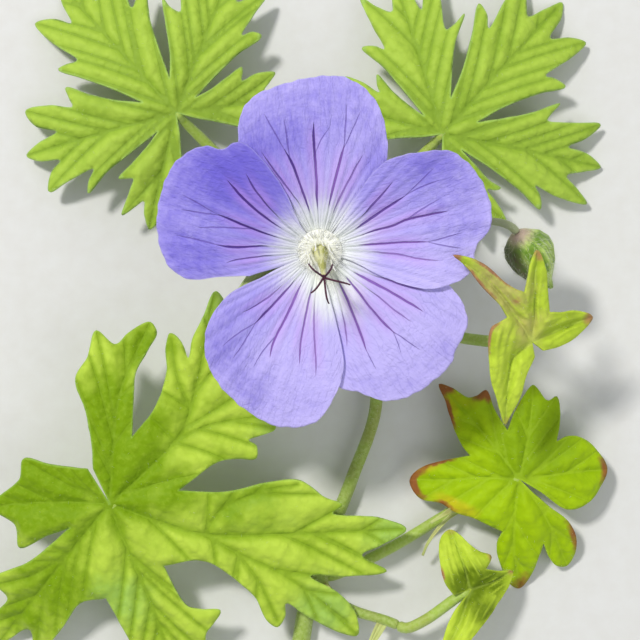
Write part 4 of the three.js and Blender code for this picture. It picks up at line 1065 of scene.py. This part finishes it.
def leafBlade(leaf):
    lobes = drawnLobes(leaf) if "lobes" in leaf else regularLobes(leaf)
    outline, veins = leafPlan(leaf, lobes)
    starts, ends, widths = veinStretches(leaf, outline, veins)
    plan, faces = bladeFaces(leaf["step"], outline, starts, ends)
    gap, width = distanceTo(plan, starts, ends, widths)
    edge, _ = distanceTo(plan, outline, np.roll(outline, -1, axis=0))
    x, y, inner = plan[:, 0], plan[:, 1], smooth(edge, 0, 1.2)
    pleats = lobePleats(leaf, plan) * inner if "pleat" in leaf else 0 * inner
    groove = leafFinish["groove"] * np.clip(width / 0.5, 0.25, 1) * np.exp(-(gap / (0.3 + width * 0.5)) ** 2)
    height = leaf["palm"][2] + bladeRise(leaf, lobes, plan)
    height -= groove * (0.3 + 0.7 * inner)
    height += leafFinish["quilt"] * (1 - np.exp(-(gap / leafFinish["quiltWidth"]) ** 2)) * inner
    height += leafFinish["crinkle"] * np.sin(x * 1.9 + y * 0.7) * np.sin(y * 2.3 - x * 0.5)
    height += leafFinish["waver"] * np.sin(x * 0.8 + leaf["palm"][0]) * np.cos(y * 0.9) * (1 - inner * 0.3)
    height += leaf.get("pleat", 0) * pleats
    solid = np.column_stack([plan + leaf["palm"][:2], np.maximum(height, leafFinish["lowest"])])
    piece = meshPiece(leaf["piece"], solid, faces)
    if sum(polygon.normal.z for polygon in piece.data.polygons) < 0:
        inEditMode(piece, bpy.ops.mesh.flip_normals)
    keep(piece, veinGap=gap, veinWidth=width, edgeGap=edge, stripe=pleats)
    for kind in ("deep", "pale", "red", "gold"):
        amount = np.zeros(len(plan))
        for tintX, tintY, size, inward, most in leaf.get("tints", {}).get(kind, []):
            near = most * spot(x, y, tintX, tintY, size)
            if inward:
                near = near * (1 - smooth(edge, inward * 0.4, inward * 1.3))
            amount = np.maximum(amount, near)
        keep(piece, **{kind: amount})
    return thickened(piece, leafFinish["thickness"]), solid[edge < 0.02]


def leafPaint(name, greens):
    material, brush, place = newSolidPaint(name)
    gap, width, edge, stripe = (kept(brush, value) for value in ("veinGap", "veinWidth", "edgeGap", "stripe"))
    deep, pale, red, gold = (kept(brush, kind) for kind in ("deep", "pale", "red", "gold"))
    broad, fine = noise(brush, place, 0.16, 2), noise(brush, place, 1.4, 4, 0.6)
    grit, blotch = noise(brush, place, 5, 3, 0.6), noise(brush, place, 0.45) - 0.5
    net = rise(cells(brush, place, 0.9, "SMOOTH_F1", Smoothness=0.6), 0.25, 0.75)
    body = 1 - rise(gap / (width * 0.5 + 0.05), 0.5, 1.7)
    # a band beside every vein, darkened below as painted shade where the groove would lie in shadow
    veinShade = 1 - rise(gap / (width * 2.6 + 0.3), 0.1, 1)
    colour = layered(
        shade(greens["light"]),
        (rise(broad + deep * 1.1 + blotch * 0.4, 0.42, 1.1), greens["deep"]),
        # pale tints: paler patches; those at the lobe tips are partly a painted highlight on the bent ends
        (rise(pale + blotch * 0.6, 0.1, 0.8) * 0.85, greens["pale"]),
        (veinShade * greens["shadow"], greens["deep"]),
        (rise(fine, 0.45, 0.8) * 0.25, greens["light"]),
        (rise(gold + blotch * 0.5, 0.15, 0.8) * 0.8, greens["gold"]),
        (net * 0.16, greens["deep"]),
        # painted highlight on the crests of the young leaves' pleats
        (rise(stripe + blotch * 0.6, 0.2, 1) * 0.5, greens["pale"]),
        # the vein's own line: paler on the flushed and young leaves; on the summer and back leaves a darker
        # green that is partly painted shade of the sunken vein
        (body * rise(width, 0.06, 0.24) * greens["show"], greens["vein"]),
        (grit * 0.1, greens["deep"]),
        ((1 - rise(edge, 0.03, 0.3)) * 0.4, greens["pale"]),
        (rise(red + blotch * 0.7, 0.3, 0.75) * 0.85, greens["red"]))
    relief = fine * 0.5 + grit * 0.2 - net * 0.5 - body * 0.3
    roughness = leafFinish["roughness"] + fine * 0.2
    finishPaint(brush, colour, roughness, relief, leafFinish["bump"], 0.18, Sheen_Weight=0.05)
    return material


stalkFinish = {"light": "#c9d987", "grey": "#b2b698", "greyFrom": 12, "greyTo": 18, "cutPale": "#dfe6b8",
               "cutDeep": "#b9c88a", "cutDepth": 0.08, "roughness": 0.42, "bump": 0.12}


def stalkPaint(name, ground, flush, flushing, greying=0.0, cutAt=-1e3):  # greyer high up, pale where cut
    material, brush, place = newSolidPaint(name)
    broad, fine = noise(brush, place, 0.22), noise(brush, place, 2.2, 4, 0.6)
    along, up = (brush.node("ShaderNodeSeparateXYZ", {}, {"Vector": place}, side) for side in ("Y", "Z"))
    grey = rise(up, stalkFinish["greyFrom"], stalkFinish["greyTo"]) * greying
    colour = layered(shade(ground), (rise(fine, 0.3, 0.75) * 0.5, stalkFinish["light"]),
                     (rise(broad, 0.45, 0.72) * flushing, flush), (grey, stalkFinish["grey"]))
    pith = layered(shade(stalkFinish["cutPale"]), (fine, stalkFinish["cutDeep"]))
    colour = mix(1 - rise(along, cutAt, cutAt + stalkFinish["cutDepth"]), colour, pith)
    finishPaint(brush, colour, stalkFinish["roughness"] + fine * 0.2, fine, stalkFinish["bump"], 0.4,
                Sheen_Weight=0.3, Sheen_Roughness=0.5)
    return material


def hairPaint(name, colour, tip):
    material, brush, place = newSolidPaint(name)
    fine = noise(brush, place, 1.5, 2)
    finishPaint(brush, layered(shade(colour), (fine, tip)), 0.5, fine, 0.01, 0.4)
    return material


def bract(route, width, arch=0):  # pointed and ribbed, along a route, arching up
    line = smoothRoute(route, 31)
    x, y, _ = np.gradient(line, axis=0).T
    aside = np.column_stack([-y, x, 0 * x]) / np.hypot(x, y)[:, None]

    def shape(x, y):
        share = (y + 1) / 2
        centre, across = placesAlong(line, share), placesAlong(aside, share)
        half = np.maximum(width / 2 * (1 - share ** 2.2), 0.08)
        arching = arch * np.sin(np.pi * share) * share
        centre[:, 2] += arching - half * 0.3 * (1 - x ** 2) + width * 0.04 * np.cos(x * 9)
        return centre - across * (half * x)[:, None]

    piece = thickened(sheetPiece("bract", 12, 30, shape), leafFinish["bractThickness"])
    return painted(piece, bractGreen)


paleHair = hairPaint("paleHair", "#e6edc4", "#f8faea")
petiolePaint = stalkPaint("petiolePaint", "#a4c23e", "#9a7a4c", 0.2)
bractGreen = stalkPaint("bractPaint", "#c4cc78", "#b0705a", 0.45)
for node, leaf in leaves.items():
    blade, edgePoints = leafBlade(leaf)
    painted(blade, leafPaint(leaf["piece"] + "Paint", leafGreens[leaf["greens"]]))
    route = leaf["stalk"] + [leaf["palm"]]
    radii = [leafFinish["stalkRadius"]] * (len(route) - 1) + [leafFinish["stalkEnd"]]
    stalk = tube("stalk", route, radii, ribs=leafFinish["stalkRibs"], ribHeight=leafFinish["ribHeight"])
    painted(stalk, petiolePaint)
    stipules = [bract(*values) for values in leaf.get("stipules", [])]
    piece = joined(leaf["piece"], [blade, stalk] + stipules)
    settle(piece, node)
    places, normals = surfacePlaces(piece, leaf["hairs"], len(edgePoints))
    fringe = edgePoints[::2]
    outward = unit(fringe - np.array(leaf["palm"]))
    ways = np.vstack([normals + np.array([0, 0, 0.1]), outward + np.array([0, 0, 0.35])])
    roots = np.vstack([places, fringe])
    lengths = np.full(len(roots), leafFinish["hairLength"])
    down = hairs(leaf["piece"] + "Down", roots, ways, lengths, leafFinish["hairWidth"], len(fringe))
    settle(painted(down, paleHair))
print("leaves grown:", len(leaves))


# Stem with its branches, swollen joints and bracts

stem = {"around": 18, "step": 0.4, "ribs": 5, "ribHeight": 0.03, "remesh": 0.2, "softness": 0.5, "rounds": 4,
        "crease": 40, "restPlace": (0, 0, 0.01), "restWay": (0, 0, 1),
        "cutPlace": (-11, -92.05, 1.5), "cutWay": (0, 1, 0),
        "down": {"count": 1500, "length": 0.75, "width": 0.035, "seed": 5, "lowest": 0.4}}
stemRoutes = [  # route, radius, share of the radius along it
    ([(-11, -92, 1.5), (-8, -76, 1.5), (-3.5, -60, 1.6), (-1, -47, 1.8), (4.5, -33, 2.4), (8.2, -21, 2.5),
      (5.2, -8, 2), (0, 0, 1.6)], 1.4, (1.1, 1.05, 1, 0.95, 0.72, 0.66, 0.7, 0.95)),
    ([(0, 0, 1.8), (0.2, 3.4, 4), (0.3, 5.3, 9), (0.2, 4.2, 15), (0, 2.2, 20.2)],
     0.6, (1.5, 1.15, 1, 1, 1.35)),
    ([(0, 0, 1.8), (6.5, 1, 5.6), (14.5, 3, 11.5), (22, 4.1, 16.4), (25.4, 3.6, 17.9), (26.5, 3, 17.7),
      (27.1, 2.3, 17.2)], 0.6, (1.5, 1.15, 1, 0.85, 0.8, 0.85, 1.05)),
    ([(0.6, -0.8, 1.9), (6.4, -7.6, 4.2), (12, -10.6, 6.8), (16.6, -11.4, 9.6)], 0.85, (1.1, 1, 0.95, 1)),
    ([(-1, -47, 2), (3.4, -51, 3.4), (9.6, -53, 4.4), (11.6, -53.7, 5)], 0.85, (1.15, 1, 0.9, 0.9)),
]
swellings = [((0, 0, 1.6), (2.3, 2.3, 2)), ((-1, -47, 2.1), (2.4, 2.6, 2.2))]  # place and radii
bracts = [  # route, width, arch
    ([(-1, -47, 3), (-5, -50.4, 3.4)], 1.8, 0.8), ([(-1, -47, 3), (3.4, -51, 4)], 1.8, 0.8),
    ([(0, 0, 3), (-4, -2.8, 5)], 1.6, 1), ([(9.2, -53, 4.4), (6.6, -57.4, 4.8)], 1.5, 0.6),
]


def cutFlat():  # the resting spot where the stem meets the table, and the cut end
    for place, way in ((stem["restPlace"], stem["restWay"]), (stem["cutPlace"], stem["cutWay"])):
        bpy.ops.mesh.select_all(action="SELECT")
        bpy.ops.mesh.bisect(plane_co=[c * mm for c in place], plane_no=way, use_fill=True, clear_inner=True,
                            threshold=0.001 * mm)


grown = [tube("stemTube", route, [radius * share for share in taper], stem["around"], stem["step"],
              stem["ribs"], stem["ribHeight"]) for route, radius, taper in stemRoutes]
for place, size in swellings:
    location = [c * mm for c in place]
    bpy.ops.mesh.primitive_uv_sphere_add(segments=28, ring_count=16, radius=mm, location=location, scale=size)
    bpy.ops.object.transform_apply(location=True, rotation=True, scale=True)
    grown.append(bpy.context.object)
stemPiece = joined("floweringStem", grown)
applied(stemPiece, "REMESH", mode="VOXEL", voxel_size=stem["remesh"] * mm)
applied(stemPiece, "SMOOTH", factor=stem["softness"], iterations=stem["rounds"])
inEditMode(stemPiece, cutFlat)
painted(stemPiece, stalkPaint("stemPaint", "#93ad3a", "#8a6a48", 0.25, 0.75, stem["cutPlace"][1] + 0.04))
stemPiece = joined("floweringStem", [stemPiece] + [bract(*values) for values in bracts])
settle(stemPiece, "stem", stem["crease"])
growDown("stemDown", stemPiece, stem["down"], paleHair)
print("stem grown")


# Calyx: cup and five hairy sepals

sepals = {"headings": (55, 127.5, 206, 280, 345.5), "lifts": (0, 0, 0.75, 0, 0), "inner": 0.9, "length": 12.5,
          "width": 5.2, "point": 0.16, "below": 1.85, "ribs": 3, "ribHeight": 0.12, "thickness": 0.34,
          "down": {"count": 2200, "length": 0.9, "width": 0.05, "seed": 15}}
cup = {"ribs": 10, "ribHeight": 0.02,
       "rings": [(0.62, -3), (0.8, -2.98), (1.5, -2.3), (1.68, -2), (1.76, -1.2), (1.75, -0.5), (1.68, -0.4)]}


def sepal(heading, lift):
    def shape(x, y):
        share, turn = (y + 1) / 2, math.radians(heading)
        radius = sepals["inner"] + (sepals["length"] - sepals["inner"]) * share
        oval = np.sin(np.pi * np.minimum(0.24 + share * 0.7, 1)) ** 0.8
        aside = -x * np.maximum(sepals["width"] / 2 * oval * (1 - share ** 6), sepals["point"])
        keel = x ** 2 * share * (1 - share)
        ribs = sepals["ribHeight"] * np.cos(x * np.pi * sepals["ribs"])
        ribs = ribs * np.sin(np.pi * np.clip(share * 1.1, 0, 1))
        height = saucer(radius) - sepals["below"] + lift * share ** 0.5 + keel - 0.5 * share - ribs
        return onBloom(radius * math.cos(turn) - aside * math.sin(turn),
                       radius * math.sin(turn) + aside * math.cos(turn), height)

    return thickened(sheetPiece("sepal", 26, 60, shape), sepals["thickness"])


def turned(name, rings, columns=48, rows=40, lean=None, ribs=0, ribHeight=0.0):  # rings are (radius, height)
    reach = [0.0] + [radius for radius, height in rings] + [0.0]
    tall = [rings[0][1]] + [height for radius, height in rings] + [rings[-1][1]]
    line = np.concatenate([[0], np.cumsum(np.hypot(np.diff(reach), np.diff(tall)))])

    def shape(x, y):
        at, angle = (y + 1) / 2 * line[-1], np.pi * (x + 1)
        radius, height = np.interp(at, line, reach), np.interp(at, line, tall)
        radius = radius * (1 + ribHeight * np.cos(angle * ribs))
        pushX, pushY = lean(height) if lean else (0, 0)
        return onBloom(radius * np.cos(angle) + pushX, radius * np.sin(angle) + pushY, height)

    return roundPiece(name, columns, rows, shape)


cupPiece = turned("cup", cup["rings"], ribs=cup["ribs"], ribHeight=cup["ribHeight"])
fiveSepals = [sepal(heading, lift) for heading, lift in zip(sepals["headings"], sepals["lifts"])]
calyxPiece = joined("calyxWithSepals", [cupPiece] + fiveSepals)
# sepal green: paler than the sepals' own colour, partly painted light lifting them out of the shade under the
# petals
settle(painted(calyxPiece, stalkPaint("sepalPaint", "#bcd87c", "#a08c68", 0.2)), "calyx")
growDown("calyxDown", calyxPiece, sepals["down"], paleHair,
         lambda places, normals: normals[:, 2] < 0.3)
print("calyx opened, sepals:", len(fiveSepals))


# Pistil, its five stigma arms and the ten filaments in a woolly throat

column = {"height": 9.4, "lean": (0.5, -1.95), "foot": -0.1, "ribs": 5, "ribHeight": 0.07, "bareFrom": 6.5,
          "pale": "#e0dfa6", "deep": "#aeb058", "light": "#ecebc4", "streaks": (0.9, 0.5, 0.1),
          "rings": [(0.6, -0.1), (0.71, -0.08), (0.86, 0.2), (0.93, 0.7), (0.93, 1.6), (0.94, 2.6),
                    (0.88, 3.4), (0.74, 4.4), (0.6, 5.4), (0.46, 6.8), (0.36, 7.9), (0.32, 9.1), (0.36, 9.4)],
          "down": {"count": 420, "length": 0.45, "width": 0.035, "seed": 27}}
stigma = {"root": 9.7, "rise": 1.1, "curl": 9, "headings": (136, 60, -14, -79, 228),
          "reaches": (2.8, 2.2, 3.5, 3.4, 2.6), "radii": (0.16, 0.14, 0.13, 0.13, 0.12, 0.09),
          "ribs": 3, "ribHeight": 0.1,
          "plum": "#451e30", "light": "#66344a", "dark": "#32151f", "beads": 9,
          "hub": [(0.24, 9.4), (0.26, 9.5), (0.26, 9.9), (0.2, 10.16), (0.1, 10.26)]}
filament = {"count": 10, "firstHeading": 9, "height": 6.2, "shorter": 0.8,
            "radii": (0.26, 0.17, 0.11, 0.09, 0.07),
            "bow": [(0, 1.5), (0.35, 1.54), (0.7, 1.56), (0.9, 1.8), (1, 2.0)],  # share of height, out
            "colour": "#fdfdf2", "shadow": "#f3f2d6", "light": "#ffffff",
            "wool": [(1.02, 0.1), (1.1, -0.06), (1.4, -0.1), (1.72, 0.1), (2.0, 0.9), (2.5, 1.75),
                     (2.95, 2.15), (2.95, 2.3), (2.5, 2.5), (1.8, 2.6), (1.2, 2.5), (0.85, 2.2), (0.9, 1.5),
                     (1.02, 0.8), (1.02, 0.1)]}
tuft = {"count": 360, "inner": 0.9, "outer": 2.9, "length": 1.5, "width": 0.07, "sway": 0.14, "seed": 31,
        "heights": ((0.9, 1.8, 2.5, 2.9), (2.2, 2.55, 2.45, 2.25))}


def columnLean(height):
    share = (np.maximum(height, 0) / column["height"]) ** 1.6
    return column["lean"][0] * share, column["lean"][1] * share


pistilPiece = turned("pistilColumn", column["rings"], 40, 90, columnLean, column["ribs"], column["ribHeight"])
pistilPaint, brush, place = newSolidPaint("pistilPaint")
drawnOut = brush.node("ShaderNodeVectorMath", {"operation": "MULTIPLY"}, {0: place, 1: column["streaks"]})
streak, fine = noise(brush, drawnOut, 1), noise(brush, place, 3.5, 4, 0.6)
colour = layered(shade(column["pale"]), (rise(streak, 0.42, 0.6), column["deep"]),
                 (rise(fine, 0.5, 0.8) * 0.4, column["light"]))
finishPaint(brush, colour, 0.45 + fine * 0.2, fine, 0.02, 0.3)
settle(painted(pistilPiece, pistilPaint), "pistil")
growDown("pistilDown", pistilPiece, column["down"], hairPaint("pistilHair", "#e9e9c4", "#ffffff"),
         lambda places, normals: places[:, 2] < bloom["throatHeight"] + column["bareFrom"])

leanX, leanY = (float(push) for push in columnLean(stigma["root"]))
arms = [turned("hub", stigma["hub"], 24, 20, lambda height: (leanX, leanY))]
for index, (heading, reach) in enumerate(zip(stigma["headings"], stigma["reaches"])):
    line, curl = [], stigma["curl"] if index % 2 else -stigma["curl"]
    for share in np.linspace(0.04, 1, 8):
        x, y = polar(reach * share, heading + curl * (share ** 2 - share) * 1.6)
        rising = stigma["root"] + 0.3 + stigma["rise"] * math.sin(share * math.pi * 0.75)
        line.append(onBloom(leanX + x, leanY + y, rising))
    arms.append(tube("arm", line, stigma["radii"], 14, 0.07, stigma["ribs"], stigma["ribHeight"]))
stigmaPiece = joined("stigmaArms", arms)
stigmaPaint, brush, place = newSolidPaint("stigmaPaint")
beads = cells(brush, place, stigma["beads"], "F1")
colour = layered(shade(stigma["plum"]), (rise(noise(brush, place, 1.2), 0.35, 0.7), stigma["light"]),
                 (rise(beads, 0.3, 0.7) * 0.35, stigma["dark"]))
finishPaint(brush, colour, 0.5 + beads * 0.2, 1 - beads, 0.06, 0.45)
settle(painted(stigmaPiece, stigmaPaint), "stigmas")

stalks = [turned("wool", filament["wool"], 60, 48)]
for index in range(filament["count"]):
    heading = index / filament["count"] * 360 + filament["firstHeading"]
    tall, line = filament["height"] * (1 if index % 2 else filament["shorter"]), []
    for share, out in filament["bow"]:
        height = column["foot"] + 0.2 + share * tall
        (x, y), (pushX, pushY) = polar(out, heading), columnLean(height)
        line.append(onBloom(x + pushX, y + pushY, height))
    stalks.append(tube("filament", line, filament["radii"], 10, 0.2))
filamentPiece = joined("filamentRing", stalks)
filamentPaint, brush, place = newSolidPaint("filamentPaint")
fine, fluff = noise(brush, place, 3, 4, 0.6), noise(brush, place, 9, 3, 0.7)
colour = layered(shade(filament["colour"]), (rise(fine, 0.35, 0.7), filament["shadow"]),
                 (fluff * 0.5, filament["light"]))
finishPaint(brush, colour, 0.7 + fluff * 0.2, fine, 0.03, 0.2,  # light goes through the wool
            Subsurface_Weight=0.3, Subsurface_Radius=(1, 1, 0.9), Subsurface_Scale=0.5 * mm)
settle(painted(filamentPiece, filamentPaint), "filaments")

draw = np.random.default_rng(tuft["seed"])
turns = draw.uniform(0, 2 * np.pi, tuft["count"])
out = draw.uniform(tuft["inner"], tuft["outer"], tuft["count"])
roots = onBloom(out * np.cos(turns), out * np.sin(turns), np.interp(out, *tuft["heights"]))
ways = onBloom(np.cos(turns), np.sin(turns), 0.42 + 0 * turns) - onBloom(0.0, 0.0, 0.0)
lengths = tuft["length"] * (1.3 - out / tuft["outer"] * 0.5)
woolly = hairs("throatTuft", roots, ways, lengths, tuft["width"], tuft["seed"] + 1, tuft["sway"])
settle(painted(woolly, hairPaint("whiteHair", "#fdfdf4", "#ffffff")))
print("pistil, stigma arms and filaments set in")


# Bud

bud = {"base": (26.6, 2.9, 17.6), "axis": (0.52, -0.72, -0.42), "length": 11, "radius": 3.3, "sepals": 5,
       "ribHeight": 0.07, "veins": 15, "veinHeight": 0.035, "seam": 0.07, "seamWidth": 0.09,
       "stages": [(0.055, 0), (0.07, 0.3), (0.12, 0.52), (0.22, 0.84), (0.36, 1), (0.5, 0.97), (0.64, 0.78),
                  (0.76, 0.5), (0.86, 0.24), (0.985, 0.1), (1, 0)],  # share of length, share of radius
       "deep": "#6e9420", "pale": "#bcd66a", "olive": "#9cab40", "shade": "#3c4c18", "plum": "#4c3038",
       "flush": "#c8a8a0", "down": {"count": 500, "length": 0.8, "width": 0.035, "seed": 41}}
budAxis = np.array(bud["axis"]) / np.linalg.norm(bud["axis"])
budSide = np.cross((0, 0, 1), budAxis) / np.linalg.norm(np.cross((0, 0, 1), budAxis))
budFront = np.cross(budAxis, budSide)


def budShape(x, y):
    shares, widths = zip(*bud["stages"])
    share = shares[0] + (y + 1) / 2 * (1 - shares[0])
    angle, swell, part = np.pi * (x + 1), np.sin(share * np.pi), 2 * np.pi / bud["sepals"]
    ribbing = 1 + bud["ribHeight"] * np.cos(angle * bud["sepals"]) * swell
    ribbing = ribbing + bud["veinHeight"] * np.cos(angle * bud["veins"] + 0.6) * swell
    fromSeam = (angle + share * 0.8) % part - part / 2
    seam = bud["seam"] * np.exp(-(fromSeam / bud["seamWidth"]) ** 2) * swell
    radius = bud["radius"] * np.interp(share, shares, widths) * (ribbing - seam)
    return (np.array(bud["base"]) + np.outer(share * bud["length"], budAxis)
            + np.outer(radius * np.cos(angle), budSide) + np.outer(radius * np.sin(angle), budFront))


budPiece = roundPiece("noddingBud", 120, 90, budShape)
applied(budPiece, "SMOOTH", factor=0.5, iterations=2)
fromBase = readPoints(budPiece) / mm - np.array(bud["base"])
keep(budPiece, down=fromBase @ budAxis / bud["length"], aside=fromBase @ budSide / bud["radius"],
     front=fromBase @ budFront / bud["radius"])
budPaint, brush, place = newSolidPaint("budPaint")
down, aside, front = (kept(brush, name) for name in ("down", "aside", "front"))
streak = noise(brush, vector(brush, aside * 2.4, front * 2.4, down * 0.7), 1, 4, 0.6)
fine = noise(brush, place, 2, 4, 0.6)
colour = layered(shade(bud["deep"]), (rise(streak, 0.42, 0.58), bud["pale"]),
                 (rise(fine, 0.45, 0.75) * 0.25, bud["olive"]))
shadowed = rise(streak * 0.5 - aside * 0.9, 0.35, 0.95) * 0.9
colour = mix(shadowed, colour, layered(shade(bud["shade"]), (rise(fine, 0.4, 0.7), bud["plum"])))
neck = (1 - rise(down + fine * 0.1, 0.12, 0.26)) * rise(aside, -0.75, -0.2) * 0.85
colour = layered(colour, (neck, bud["flush"]))
finishPaint(brush, colour, 0.5 + fine * 0.2, streak * 0.6 + fine * 0.4, 0.25, 0.4,
            Sheen_Weight=0.3, Sheen_Roughness=0.5)
settle(painted(budPiece, budPaint), "bud")
growDown("budDown", budPiece, bud["down"], paleHair, lean=budAxis * 0.8)
print("bud folded")
